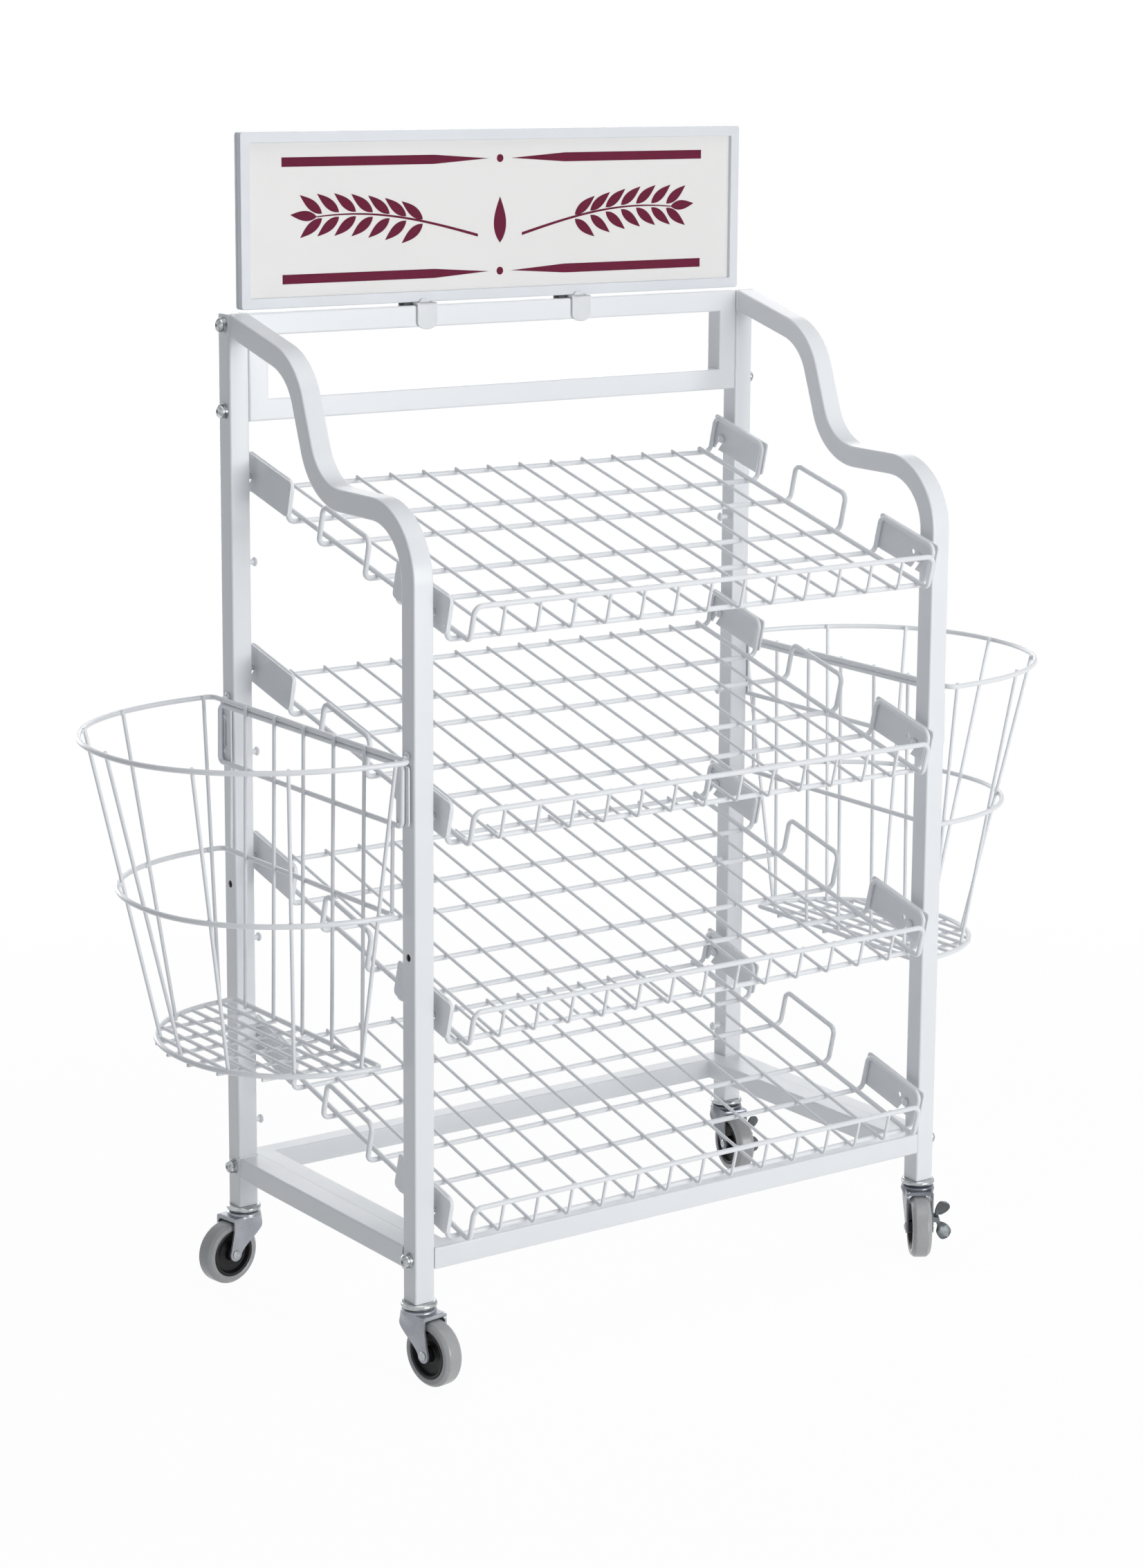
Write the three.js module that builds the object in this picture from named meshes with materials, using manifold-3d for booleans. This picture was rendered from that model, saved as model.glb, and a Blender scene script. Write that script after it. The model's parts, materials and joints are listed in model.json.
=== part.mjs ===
// Bakery bread rack: a bolted frame of white square tube on four swivel casters, with four sloping
// wire shelves hung on studs, a wire loaf basket hooked on each side and a framed sign on the back rail.
// Millimetres, +Z up, the front faces -Y, and the box of the whole rack stands on the origin.
import * as THREE from 'three';
import { mergeVertices } from 'three/addons/utils/BufferGeometryUtils.js';
import Module from 'manifold-3d';

const wasm = await Module();
wasm.setup();

// Fits
const seam = 0.3; // gap between two pieces that touch
const weld = 0.9; // depth that a welded wire sinks into the next
const overcut = 1; // length that a cutting shape runs past the face it opens

// Square tube frame
const tube = 26;
const tubeWall = 1.5;
const tubeCorner = 2.5;
const rackWidth = 764; // over the posts
const rackDepth = 424;
const rearPostLength = 1082;
const backFrameHeight = 126;
const baseRailLift = 36.5; // post end to the underside of the bottom rails
const endPlate = 3; // closing plate in a bolted rail's end

// Bent front posts: an arm from the rear post, a steep drop, a level step and the upright
const armDrop = 12.5; // rear post's top to the arm's centre where they meet
const kneeDrop = 36; // the arm's fall from there to the top of the steep drop
const kneeSetback = 139; // rear post to the top of the steep drop
const dropFall = 139;
const dropReach = 50.5;
const bendRadius = 75;

// Bolts through the posts into the rail ends
const boltRadius = 3;
const boltClearance = 0.4;
const boltHeadRadius = 7.4;
const boltHeadHeight = 5;
const boltHeadTop = 4.4; // radius of the head's flat top
const washerRadius = 9.5;
const washerHeight = 1.6;
const boltThread = 9; // length inside the rail
const boltSides = 8;

// Studs that carry the shelves
const shelfCount = 4;
const topStudDrop = 106; // the front posts' step to the top shelf's stud
const lowStudHeight = 102.7; // the posts' end to the bottom shelf's stud
const studRise = 101.6; // rear stud above the front one, which sets the slope
const studNeckRadius = 3.2;
const studHeadRadius = 5.5;
const studHeadHeight = 4;
const studPlay = 0.8; // room for the hanger plate on the stud
const studSides = 6;

// Wire shelves
const rodRadius = 3.1;
const wireRadius = 2;
const loopLength = 103; // front to back, rod to rod
const loopGap = 71.5;
const loopHeight = 48;
const loopBend = 9;
const frontOverhang = 24; // front stud to the front rod
const hangHeight = 24; // rods to the stud
const hangerGap = 7.5; // post to hanger plate
const plateThickness = 2.5;
const plateBorder = 5; // plate past the loop's wire
const plateLow = 7; // rods to the plate's lower edge
const plateCorner = 5;
const notchLean = THREE.MathUtils.degToRad(28); // the notch runs up and forward to the stud
const wireCount = 13;
const rimInset = 17; // end loop to the side wire
const rimSpace = 43.5; // side wire to the first cross wire
const wireTail = 3;
const lipReach = 16.5;
const lipHeight = 46;
const lipBend = 6;
const rimFootBend = 7;
const rimTopBend = 10;

// Wire baskets
const ringRadius = 3.1;
const basketWireRadius = 2.2;
const basketHang = 3.5; // hook holes to the top ring
const ringDrop = 178.5; // top ring to the middle one
const basketDepth = 359; // top ring to the bottom one
const topReach = 259; // back to front of the half-oval
const topHalf = 219;
const bottomReach = 167;
const bottomHalf = 166;
const backLean = 5; // how far the back wall leans out at the bottom
const basketShift = 5; // rings' middle behind the posts' middle
const ovalPower = 2.2;
const ringSteps = 14;
const ringBend = 8; // where the back of a ring turns into the half-oval
const ringStart = 0.0075; // parameter where the half-oval begins
const basketPlay = 2.2; // post to basket plate
const basketPlateWidth = 26;
const basketPlateThickness = 2;
const basketPlateHeight = 68;
const slotWidth = 6;
const slotLength = 32;
const railDrop = 10; // top ring to the mounting loop
const loopDepth = 65;
const loopPast = 6; // mounting loop past the hooks
const loopCorner = 5;
const hookDrop = 158; // the top shelf's stud to the hook holes
const hookRadius = 2.4;
const hookHoleRadius = 4.5;
const hookReach = 5; // length inside the post
const hookSides = 6;
const backWireCount = 5;
const backWirePitch = 66;
// Places of the side wires along the top and bottom half-ovals, from the rear to the front
const sideWireTops = [0.014, 0.165, 0.315, 0.5, 0.685, 0.835, 0.986];
const sideWireBottoms = [0.038, 0.188, 0.35, 0.5, 0.65, 0.812, 0.962];
const floorLongWires = 7;
const floorCrossWires = 6;

// Sign
const signInset = 21; // the rack's side to the sign's end
const signHeight = 204;
const signDepth = 14;
const signBorder = 12.5;
const signLip = 2.5;
const panelInset = 5; // how far the sheets run into the border
const panelThickness = 3;
const coverThickness = 1.5;
const clipWidth = 28;
const clipThickness = 3;
const clipDrop = 29;
const clipSpread = 225;
const clipBackDrop = 12;

// Swivel casters
const wheelRadius = 38.1;
const wheelWidth = 24;
const wheelSides = 20;
const hubSides = 10;
const tyreThickness = 9.5;
const tyreShoulder = 4;
const casterTrail = 26;
const crownClearance = 4; // wheel to the underside of the fork
const forkWall = 2.5;
const forkSideClearance = 2.5;
const forkLead = 15;
const forkTail = 28;
const forkEar = 8.5;
const forkWaist = 16;
const raceRadius = 21.5;
const raceHeight = 5;
const headRadius = 19;
const headHeight = 5.3;
const stemRadius = 5.5;
const stemLength = 36;
const kingPinRadius = 5;
const kingPinHead = 7.5;
const kingPinHeadHeight = 2;
const axleRadius = 3.5;
const axleHead = 5;
const axleHeadHeight = 1.8;
const hubBoss = 9;
const hubRecess = 5;
const runningGap = 0.4;
const lathSides = 12;
const insertLength = 40;

// Brake pedals on the right-hand casters
const pedalWing = 27;
const pedalWingWidth = 20;
const pedalWidth = 14;
const pedalSheet = 2.4;
const pedalSpread = THREE.MathUtils.degToRad(52);
const pedalBarrel = 3.4;
const pedalPin = 1.7;
const pedalStandOff = 5.2; // fork to the pedal's pivot
const pedalLift = 9; // axle up to the pivot
const pedalAhead = 6; // axle forward to the pivot
const lugThickness = 3;
const lugLength = 6;

// Directions that the casters trail in, measured from the front towards the right
const headings = {
  front_left: THREE.MathUtils.degToRad(8),
  rear_left: THREE.MathUtils.degToRad(-80),
  front_right: THREE.MathUtils.degToRad(-33),
  rear_right: THREE.MathUtils.degToRad(-10),
};

// Worked out from the sizes above
const halfTube = tube / 2;
const postX = rackWidth / 2 - halfTube; // centre of a post
const postY = rackDepth / 2 - halfTube;
const innerX = rackWidth / 2 - tube; // inner face of a post
const outerX = rackWidth / 2;
const rearFace = postY - halfTube; // front face of the rear posts
const axleHeight = wheelRadius * Math.cos(Math.PI / wheelSides);
const crownUnder = axleHeight + wheelRadius + crownClearance;
const crownTop = crownUnder + forkWall;
const foot = crownTop + raceHeight + headHeight + 2 * seam; // floor to the end of the posts
const baseRailZ = foot + baseRailLift + halfTube;
const backTopZ = foot + rearPostLength - halfTube;
const backLowZ = foot + rearPostLength - backFrameHeight + halfTube;
const slope = Math.atan2(studRise, 2 * postY);
const signWidth = rackWidth - 2 * signInset;

// Heights above the posts' ends
const armEndHeight = rearPostLength - armDrop;
const kneeHeight = armEndHeight - kneeDrop;
const stepHeight = kneeHeight - dropFall;
const topStudHeight = stepHeight - topStudDrop;
const shelfPitch = (topStudHeight - lowStudHeight) / (shelfCount - 1);
const hookHeight = topStudHeight - hookDrop;
const basketTop = hookHeight - basketHang;
const basketMiddle = basketTop - ringDrop;
const basketBottom = basketTop - basketDepth;

// Materials
const paint = (name, color, roughness, metalness) =>
  new THREE.MeshStandardMaterial({ name, color, roughness, metalness });
const white = paint('white_powder_coat', 0xe6e8ea, 0.38, 0);
const zinc = paint('zinc_plate', 0xb9bcc0, 0.3, 1);
const channel = paint('grey_channel', 0xc3c9d0, 0.45, 0);
const print = paint('printed_board', 0xf2f1ee, 0.5, 0);
const clear = paint('clear_cover', 0xf4f6f7, 0.08, 0);
const clipPlastic = paint('clip_plastic', 0xdcdde0, 0.4, 0);
const tyreGrey = paint('tyre_grey', 0x9b9d9e, 0.6, 0);
const hubBlack = paint('hub_black', 0x1c1d1f, 0.5, 0);
const insertBlack = paint('insert_black', 0x222324, 0.6, 0);

const rack = new THREE.Group();

// Solids
function solid(geometry) {
  const bare = geometry.clone();
  bare.deleteAttribute('normal');
  bare.deleteAttribute('uv');
  const merged = mergeVertices(bare, 1e-4);
  return new wasm.Manifold(new wasm.Mesh({
    numProp: 3,
    vertProperties: new Float32Array(merged.attributes.position.array),
    triVerts: new Uint32Array(merged.index.array),
  }));
}

function geometryOf(body) {
  const { vertProperties, triVerts } = body.getMesh();
  const geometry = new THREE.BufferGeometry();
  geometry.setAttribute('position', new THREE.BufferAttribute(new Float32Array(vertProperties), 3));
  geometry.setIndex(new THREE.BufferAttribute(new Uint32Array(triVerts), 1));
  geometry.computeVertexNormals();
  return geometry;
}

const join = (bodies) => bodies.reduce((a, b) => a.add(b));
const cut = (body, tools) => tools.reduce((a, b) => a.subtract(b), body);

function piece(name, body, material, parent = rack) {
  const mesh = new THREE.Mesh(geometryOf(body), material);
  mesh.name = name;
  parent.add(mesh);
  return mesh;
}

const v3 = (x, y, z) => new THREE.Vector3(x, y, z);

function box(width, depth, height, center) {
  return solid(new THREE.BoxGeometry(width, depth, height).translate(center.x, center.y, center.z));
}

// A turned cylinder along a world axis, with its middle at the centre given.
function rod(axis, radius, length, sides, center) {
  const geometry = new THREE.CylinderGeometry(radius, radius, length, sides);
  if (axis === 'x') geometry.rotateZ(Math.PI / 2);
  if (axis === 'z') geometry.rotateX(Math.PI / 2);
  return solid(geometry.translate(center.x, center.y, center.z));
}

// A turned solid about +Z from (radius, height) points that start and end on the axis.
function turned(profile, sides) {
  const points = profile.map(([radius, height]) => new THREE.Vector2(radius, height));
  return solid(new THREE.LatheGeometry(points, sides).rotateX(Math.PI / 2));
}

// Rounds the corners of a path with arcs, of one radius or of one for each corner.
function rounded(points, radii, steps, closed = false) {
  const count = points.length;
  const path = [];
  points.forEach((corner, i) => {
    if (!closed && (i === 0 || i === count - 1)) {
      path.push(corner);
      return;
    }
    const radius = Array.isArray(radii) ? radii[i] : radii;
    const before = points[(i + count - 1) % count].clone().sub(corner).normalize();
    const after = points[(i + 1) % count].clone().sub(corner).normalize();
    const half = before.angleTo(after) / 2;
    const middle = before.clone().add(after).normalize();
    const center = corner.clone().addScaledVector(middle, radius / Math.sin(half));
    const start = corner.clone().addScaledVector(before, radius / Math.tan(half)).sub(center);
    const axis = before.clone().cross(after).normalize();
    for (let k = 0; k <= steps; k++) {
      const turn = -(k / steps) * (Math.PI - 2 * half);
      path.push(center.clone().add(start.clone().applyAxisAngle(axis, turn)));
    }
  });
  return path;
}

// Sweeps an outline along a path of straight runs, mitred at each corner. The outline's first axis
// starts along `side`, and is carried from run to run without twist.
function sweep(outline, path, side, closed = false) {
  const count = path.length;
  const sides = outline.length;
  const runs = closed ? count : count - 1;
  const heading = [];
  for (let i = 0; i < runs; i++) heading.push(path[(i + 1) % count].clone().sub(path[i]).normalize());
  const rings = [];
  let across = side.clone().addScaledVector(heading[0], -side.dot(heading[0])).normalize();
  for (let i = 0; i < (closed ? count + 1 : count); i++) {
    const into = heading[closed ? (i + runs - 1) % runs : Math.max(i - 1, 0)];
    const out = heading[closed ? i % runs : Math.min(i, runs - 1)];
    const plane = into.clone().add(out).normalize();
    const along = i === 0 ? out : into;
    const other = along.clone().cross(across);
    rings.push(outline.map(([a, b]) => {
      const offset = across.clone().multiplyScalar(a).addScaledVector(other, b);
      offset.addScaledVector(along, -offset.dot(plane) / along.dot(plane));
      return path[i % count].clone().add(offset);
    }));
    if (i > 0 || !closed) {
      const swing = new THREE.Quaternion().setFromUnitVectors(along, out);
      across = across.clone().applyQuaternion(swing);
    }
  }
  let shift = 0;
  if (closed) {
    const last = rings.pop();
    const miss = (k) => last.reduce((sum, p, j) => sum + p.distanceTo(rings[0][(j + k) % sides]), 0);
    for (let k = 1; k < sides; k++) if (miss(k) < miss(shift)) shift = k;
  }
  const position = [];
  const index = [];
  rings.forEach((ring) => ring.forEach((p) => position.push(p.x, p.y, p.z)));
  for (let i = 0; i < (closed ? count : count - 1); i++) {
    const next = (i + 1) % count;
    const slip = closed && next === 0 ? shift : 0;
    for (let j = 0; j < sides; j++) {
      const a = i * sides + j;
      const b = i * sides + ((j + 1) % sides);
      const c = next * sides + ((j + slip) % sides);
      const d = next * sides + ((j + 1 + slip) % sides);
      index.push(a, b, d, a, d, c);
    }
  }
  if (!closed) {
    const face = outline.map(([a, b]) => new THREE.Vector2(a, b));
    const top = (count - 1) * sides;
    THREE.ShapeUtils.triangulateShape(face, []).forEach(([a, b, c]) => {
      index.push(a, c, b);
      index.push(top + a, top + b, top + c);
    });
  }
  const geometry = new THREE.BufferGeometry();
  geometry.setAttribute('position', new THREE.Float32BufferAttribute(position, 3));
  geometry.setIndex(index);
  return solid(geometry);
}

// Four-sided section with the area of a round wire.
function diamond(radius) {
  const reach = radius * Math.sqrt(Math.PI / 2);
  return [[reach, 0], [0, reach], [-reach, 0], [0, -reach]];
}

const corner = (radius) => radius * Math.sqrt(Math.PI / 2);

function wire(path, radius, side, closed = false) {
  return sweep(diamond(radius), path, side, closed);
}

// Square section with the corners cut off.
function squareOutline(size, cornerCut) {
  const h = size / 2;
  if (!cornerCut) return [[h, -h], [h, h], [-h, h], [-h, -h]];
  const k = h - cornerCut;
  return [[h, -k], [h, k], [k, h], [-k, h], [-h, k], [-h, -k], [-k, -h], [k, -h]];
}

const outerSection = squareOutline(tube, tubeCorner);
const innerSection = squareOutline(tube - 2 * tubeWall, 0);

// Hollow square tube. An end given a plate is closed by it, and the others are open.
function squareTube(path, side, startPlate = 0, finishPlate = 0) {
  const bore = path.map((p) => p.clone());
  const last = bore.length - 1;
  const startRun = bore[1].clone().sub(bore[0]).normalize();
  const finishRun = bore[last].clone().sub(bore[last - 1]).normalize();
  bore[0].addScaledVector(startRun, startPlate || -overcut);
  bore[last].addScaledVector(finishRun, -(finishPlate || -overcut));
  return sweep(outerSection, path, side).subtract(sweep(innerSection, bore, side));
}

// Posts
const studLevel = (k) => foot + topStudHeight - k * shelfPitch;
const holeSpan = tube + 2 * overcut;

// A mushroom stud on the inner face of a post; `inward` is the direction to the rack's middle.
function stud(sign, y, z) {
  const neck = hangerGap + plateThickness + studPlay;
  const face = sign * innerX;
  const inward = -sign;
  const root = tubeWall / 2;
  const neckMiddle = v3(face + inward * (neck - root) / 2, y, z);
  const headMiddle = v3(face + inward * (neck + studHeadHeight / 2), y, z);
  return rod('x', studNeckRadius, neck + root + weld, studSides, neckMiddle)
    .add(rod('x', studHeadRadius, studHeadHeight, studSides, headMiddle));
}

const boltBore = (sign, y, z) =>
  rod('x', boltRadius + boltClearance, holeSpan, boltSides, v3(sign * postX, y, z));

const hookHole = (sign, y, z) =>
  rod('x', hookHoleRadius, 2 * tubeWall + 2 * overcut, boltSides, v3(sign * outerX, y, z));

const hookLevels = [foot + hookHeight, foot + hookHeight - shelfPitch];

function rearPost(sign) {
  const path = [v3(sign * postX, postY, foot), v3(sign * postX, postY, foot + rearPostLength)];
  let body = squareTube(path, v3(1, 0, 0), 0, tubeWall);
  const bores = [backTopZ, backLowZ, baseRailZ].map((z) => boltBore(sign, postY, z));
  const holes = hookLevels.map((z) => hookHole(sign, postY, z));
  body = cut(body, [...bores, ...holes]);
  for (let k = 0; k < shelfCount; k++) {
    body = body.add(stud(sign, postY, studLevel(k))).add(stud(sign, postY, studLevel(k) + studRise));
  }
  return body;
}

function frontPost(sign) {
  const x = sign * postX;
  const kneeY = rearFace - kneeSetback;
  const armSlope = (armEndHeight - kneeHeight) / kneeSetback;
  const past = tube;
  const corners = [
    v3(x, rearFace + past, foot + armEndHeight + past * armSlope),
    v3(x, kneeY, foot + kneeHeight),
    v3(x, kneeY - dropReach, foot + stepHeight),
    v3(x, -postY, foot + stepHeight),
    v3(x, -postY, foot),
  ];
  const bendSteps = 5;
  let body = squareTube(rounded(corners, bendRadius, bendSteps), v3(1, 0, 0));
  const room = 4 * tube;
  const rearCut = box(room, room, room, v3(x, rearFace - seam + room / 2, foot + armEndHeight));
  const holes = hookLevels.map((z) => hookHole(sign, -postY, z));
  body = cut(body, [rearCut, boltBore(sign, -postY, baseRailZ), ...holes]);
  for (let k = 0; k < shelfCount; k++) body = body.add(stud(sign, -postY, studLevel(k)));
  return body;
}

// Rails: the two side rails are welded to the posts, the others are bolted between them.
function crossRail(y, z) {
  const end = innerX - seam;
  const body = squareTube([v3(-end, y, z), v3(end, y, z)], v3(0, 1, 0), endPlate, endPlate);
  const bore = 2 * (endPlate + overcut);
  const bores = [-1, 1].map((sign) =>
    rod('x', boltRadius + boltClearance, bore, boltSides, v3(sign * end, y, z)));
  return cut(body, bores);
}

function sideRail(x) {
  const end = rearFace - seam;
  return squareTube([v3(x, -end, baseRailZ), v3(x, end, baseRailZ)], v3(1, 0, 0));
}

function backUpright(sign) {
  const x = sign * (innerX - seam - halfTube);
  const low = backLowZ + halfTube + seam;
  const high = backTopZ - halfTube - seam;
  return squareTube([v3(x, postY, low), v3(x, postY, high)], v3(1, 0, 0));
}

function buildFrame() {
  for (const [side, sign] of [['left', -1], ['right', 1]]) {
    piece(`rear_post_${side}`, rearPost(sign), white);
    piece(`front_post_${side}`, frontPost(sign), white);
    piece(`side_rail_${side}`, sideRail(sign * postX), white);
    piece(`base_inner_rail_${side}`, sideRail(sign * (innerX - seam - halfTube)), white);
    piece(`back_frame_upright_${side}`, backUpright(sign), white);
  }
  piece('base_front_rail', crossRail(-postY, baseRailZ), white);
  piece('base_rear_rail', crossRail(postY, baseRailZ), white);
  piece('back_frame_top_rail', crossRail(postY, backTopZ), white);
  piece('back_frame_lower_rail', crossRail(postY, backLowZ), white);
}

// A dome-head bolt with its washer, from the outer face of a post into a rail's end.
function bolt(sign, y, z) {
  const shank = washerHeight + tube + seam + boltThread;
  const profile = [
    [0, -shank],
    [boltRadius, -shank],
    [boltRadius, -washerHeight],
    [washerRadius, -washerHeight],
    [washerRadius, 0],
    [boltHeadRadius, 0],
    [boltHeadRadius, boltHeadHeight / 2],
    [boltHeadTop, boltHeadHeight],
    [0, boltHeadHeight],
  ];
  const geometry = geometryOf(turned(profile, boltSides));
  geometry.rotateY(sign * Math.PI / 2).translate(sign * (outerX + seam + washerHeight), y, z);
  return solid(geometry);
}

function buildBolts() {
  const places = [['back_top', postY, backTopZ], ['back_low', postY, backLowZ],
    ['base_rear', postY, baseRailZ], ['base_front', -postY, baseRailZ]];
  for (const [side, sign] of [['left', -1], ['right', 1]]) {
    for (const [place, y, z] of places) piece(`bolt_${place}_${side}`, bolt(sign, y, z), zinc);
  }
}

// Shelves. Positions on a shelf are x, the distance back from the front studs along the slope, and the
// height above its rods.
const loopX = innerX - hangerGap - plateThickness - corner(rodRadius) + weld;
const rimX = loopX - rimInset;
const wireLift = corner(rodRadius) + corner(wireRadius) - weld;
const rodDrop = weld + seam; // the inner rods pass just under the cross wires, and the side wires hold them
const rimLift = 2 * corner(rodRadius) - weld - rodDrop;
const loopStarts = [0, 1, 2].map((i) => -frontOverhang + i * (loopLength + loopGap));
const rearRod = loopStarts[2] + loopLength;
const lipBack = -frontOverhang - lipReach;

function onShelf(k) {
  return (x, back, up) => v3(
    x,
    -postY + back * Math.cos(slope) - (up - hangHeight) * Math.sin(slope),
    studLevel(k) + back * Math.sin(slope) + (up - hangHeight) * Math.cos(slope),
  );
}

function endLoop(place, near, far) {
  const upright = (x, end) => [place(x, end.back, end.level), place(x, end.back, loopHeight)];
  const corners = [
    ...upright(-loopX, near), ...upright(-loopX, far).reverse(),
    ...upright(loopX, far), ...upright(loopX, near).reverse(),
  ];
  const bendSteps = 1;
  return wire(rounded(corners, loopBend, bendSteps, true), rodRadius, v3(1, 0, 0), true);
}

// A front-to-back wire that turns up at the front to the lip.
function crossWire(place, x) {
  const corners = [
    place(x, rearRod + wireTail, wireLift),
    place(x, lipBack, wireLift),
    place(x, lipBack, lipHeight),
  ];
  const bendSteps = 1;
  return wire(rounded(corners, lipBend, bendSteps), wireRadius, v3(1, 0, 0));
}

// The rim is one wire: up one side, along the lip and back down the other side.
function rim(place) {
  const front = lipBack - corner(rodRadius) - corner(wireRadius) + weld;
  const corners = [
    place(-rimX, rearRod + wireTail, rimLift), place(-rimX, front, rimLift),
    place(-rimX, front, lipHeight), place(rimX, front, lipHeight),
    place(rimX, front, rimLift), place(rimX, rearRod + wireTail, rimLift),
  ];
  const bendSteps = 2;
  const bends = [0, rimFootBend, rimTopBend, rimTopBend, rimFootBend, 0];
  return wire(rounded(corners, bends, bendSteps), rodRadius, v3(1, 0, 0));
}

// A sheet hanger welded on an end loop, with a leaning notch that drops over the stud.
function hanger(place, sign, start, studBack) {
  const low = plateLow;
  const high = loopHeight + plateBorder / 2;
  const near = start - plateBorder;
  const far = start + loopLength + plateBorder;
  const notch = studNeckRadius + seam;
  const path = [v3(near, low, 0), v3(far, low, 0), v3(far, high, 0), v3(near, high, 0)];
  const outline = rounded(path, plateCorner, 1, true).map((p) => new THREE.Vector2(p.x, p.y));
  const shape = new THREE.Shape(outline);
  const sheet = new THREE.ExtrudeGeometry(shape, { depth: plateThickness, bevelEnabled: false });
  const run = (hangHeight - low) / Math.cos(notchLean) + 3 * notch;
  const gate = new THREE.BoxGeometry(2 * notch, run + notch, plateThickness + 2 * overcut);
  gate.translate(0, (notch - run) / 2, plateThickness / 2).rotateZ(notchLean);
  gate.translate(studBack, hangHeight, 0);
  const flat = geometryOf(solid(sheet).subtract(solid(gate)));
  const inner = innerX - hangerGap - plateThickness;
  const origin = place(sign * inner, 0, 0);
  const basis = new THREE.Matrix4().makeBasis(
    place(0, 1, 0).sub(place(0, 0, 0)),
    place(0, 0, 1).sub(place(0, 0, 0)),
    v3(1, 0, 0),
  );
  const shift = sign > 0 ? 0 : -plateThickness;
  flat.translate(0, 0, shift).applyMatrix4(basis.setPosition(origin));
  return solid(flat);
}

function shelf(k) {
  const place = onShelf(k);
  const span = 2 * postY / Math.cos(slope);
  const bodies = loopStarts.map((start, i) => endLoop(
    place,
    { back: start, level: i === 0 ? 0 : -rodDrop },
    { back: start + loopLength, level: i === loopStarts.length - 1 ? 0 : -rodDrop },
  ));
  const first = -rimX + rimSpace;
  const pitch = -2 * first / (wireCount - 1);
  for (let i = 0; i < wireCount; i++) bodies.push(crossWire(place, first + i * pitch));
  bodies.push(rim(place));
  for (const sign of [-1, 1]) {
    bodies.push(hanger(place, sign, loopStarts[0], 0));
    bodies.push(hanger(place, sign, loopStarts[2], span));
  }
  return join(bodies);
}

function buildShelves() {
  for (let k = 0; k < shelfCount; k++) piece(`shelf_${k + 1}`, shelf(k), white);
}

// Baskets. The back wall runs down from the mounting loop, and the rings are half-ovals in front of it.
const plateX = basketPlay + basketPlateThickness; // post to the plate's outer face
const backTop = plateX + corner(ringRadius) - weld; // post to the middle of the top ring's back
const basketDepthAt = (z) => (basketTop - z) / (basketTop - basketBottom);
const backAt = (z) => backTop + backLean * basketDepthAt(z);
const reachAt = (z) => topReach + (bottomReach - topReach) * basketDepthAt(z);
const halfAt = (z) => topHalf + (bottomHalf - topHalf) * basketDepthAt(z);
const basketWireStep = corner(ringRadius) + corner(basketWireRadius) - weld;

// A point of the half-oval at parameter t from 0 (rear) to 1 (front), drawn in by `inset`.
function oval(sign, z, t, inset = 0) {
  const angle = Math.PI * (t - 0.5);
  const c = Math.max(Math.cos(angle), 0) ** (2 / ovalPower);
  const s = Math.sign(Math.sin(angle)) * Math.abs(Math.sin(angle)) ** (2 / ovalPower);
  const out = backAt(z) + (reachAt(z) - inset) * c;
  return v3(sign * (outerX + out), basketShift - (halfAt(z) - inset) * s, foot + z);
}

// The i-th of `steps` even places along the half-oval, from `first` to its mirror image.
const spaced = (first, i, steps) => first + (1 - 2 * first) * i / steps;

function ring(sign, z) {
  const x = sign * (outerX + backAt(z));
  const edge = halfAt(z) - ringBend;
  const path = [v3(x, basketShift + edge, foot + z)];
  for (let i = 0; i <= ringSteps; i++) path.push(oval(sign, z, spaced(ringStart, i, ringSteps)));
  path.push(v3(x, basketShift - edge, foot + z));
  return wire(path, ringRadius, v3(0, 0, 1), true);
}

const backPlaces = Array.from({ length: backWireCount }, (_, i) =>
  basketShift + (i - (backWireCount - 1) / 2) * backWirePitch);

// A wall wire from ring to ring, with a short end past each of them.
function wallWire(low, high) {
  const nub = high.clone().sub(low).setLength(basketWireRadius);
  return wire([low.clone().sub(nub), high.clone().add(nub)], basketWireRadius, v3(1, 0, 0));
}

function basketWalls(sign) {
  const bodies = [];
  for (const [i, t] of sideWireTops.entries()) {
    const high = oval(sign, basketTop, t, basketWireStep);
    const low = oval(sign, basketBottom, sideWireBottoms[i], basketWireStep);
    bodies.push(wallWire(low, high));
  }
  for (const y of backPlaces) {
    const at = (z) => v3(sign * (outerX + backAt(z) + basketWireStep), y, foot + z);
    bodies.push(wallWire(at(basketBottom), at(basketTop)));
  }
  return bodies;
}

// The floor grid: wires along the basket lie on the bottom ring, and shorter ones cross under it.
function basketFloor(sign) {
  const bodies = [];
  const x0 = outerX + backAt(basketBottom);
  const reach = reachAt(basketBottom);
  const half = halfAt(basketBottom);
  const z = foot + basketBottom;
  const nub = basketWireRadius;
  const ovalHalf = (out) => half * Math.max(1 - (out / reach) ** ovalPower, 0) ** (1 / ovalPower);
  const ovalOut = (y) => reach * Math.max(1 - Math.abs(y / half) ** ovalPower, 0) ** (1 / ovalPower);
  for (let i = 1; i <= floorLongWires; i++) {
    const out = reach * i / (floorLongWires + 1);
    const end = ovalHalf(out) + nub;
    const x = sign * (x0 + out);
    const high = z + basketWireStep;
    const path = [v3(x, basketShift - end, high), v3(x, basketShift + end, high)];
    bodies.push(wire(path, basketWireRadius, v3(0, 0, 1)));
  }
  for (let i = 0; i < floorCrossWires; i++) {
    const y = 2 * half * ((i + 1) / (floorCrossWires + 1) - 0.5);
    const low = z - basketWireStep;
    const far = x0 + ovalOut(y) + nub;
    const path = [v3(sign * (x0 - nub), basketShift + y, low), v3(sign * far, basketShift + y, low)];
    bodies.push(wire(path, basketWireRadius, v3(0, 0, 1)));
  }
  return bodies;
}

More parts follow.
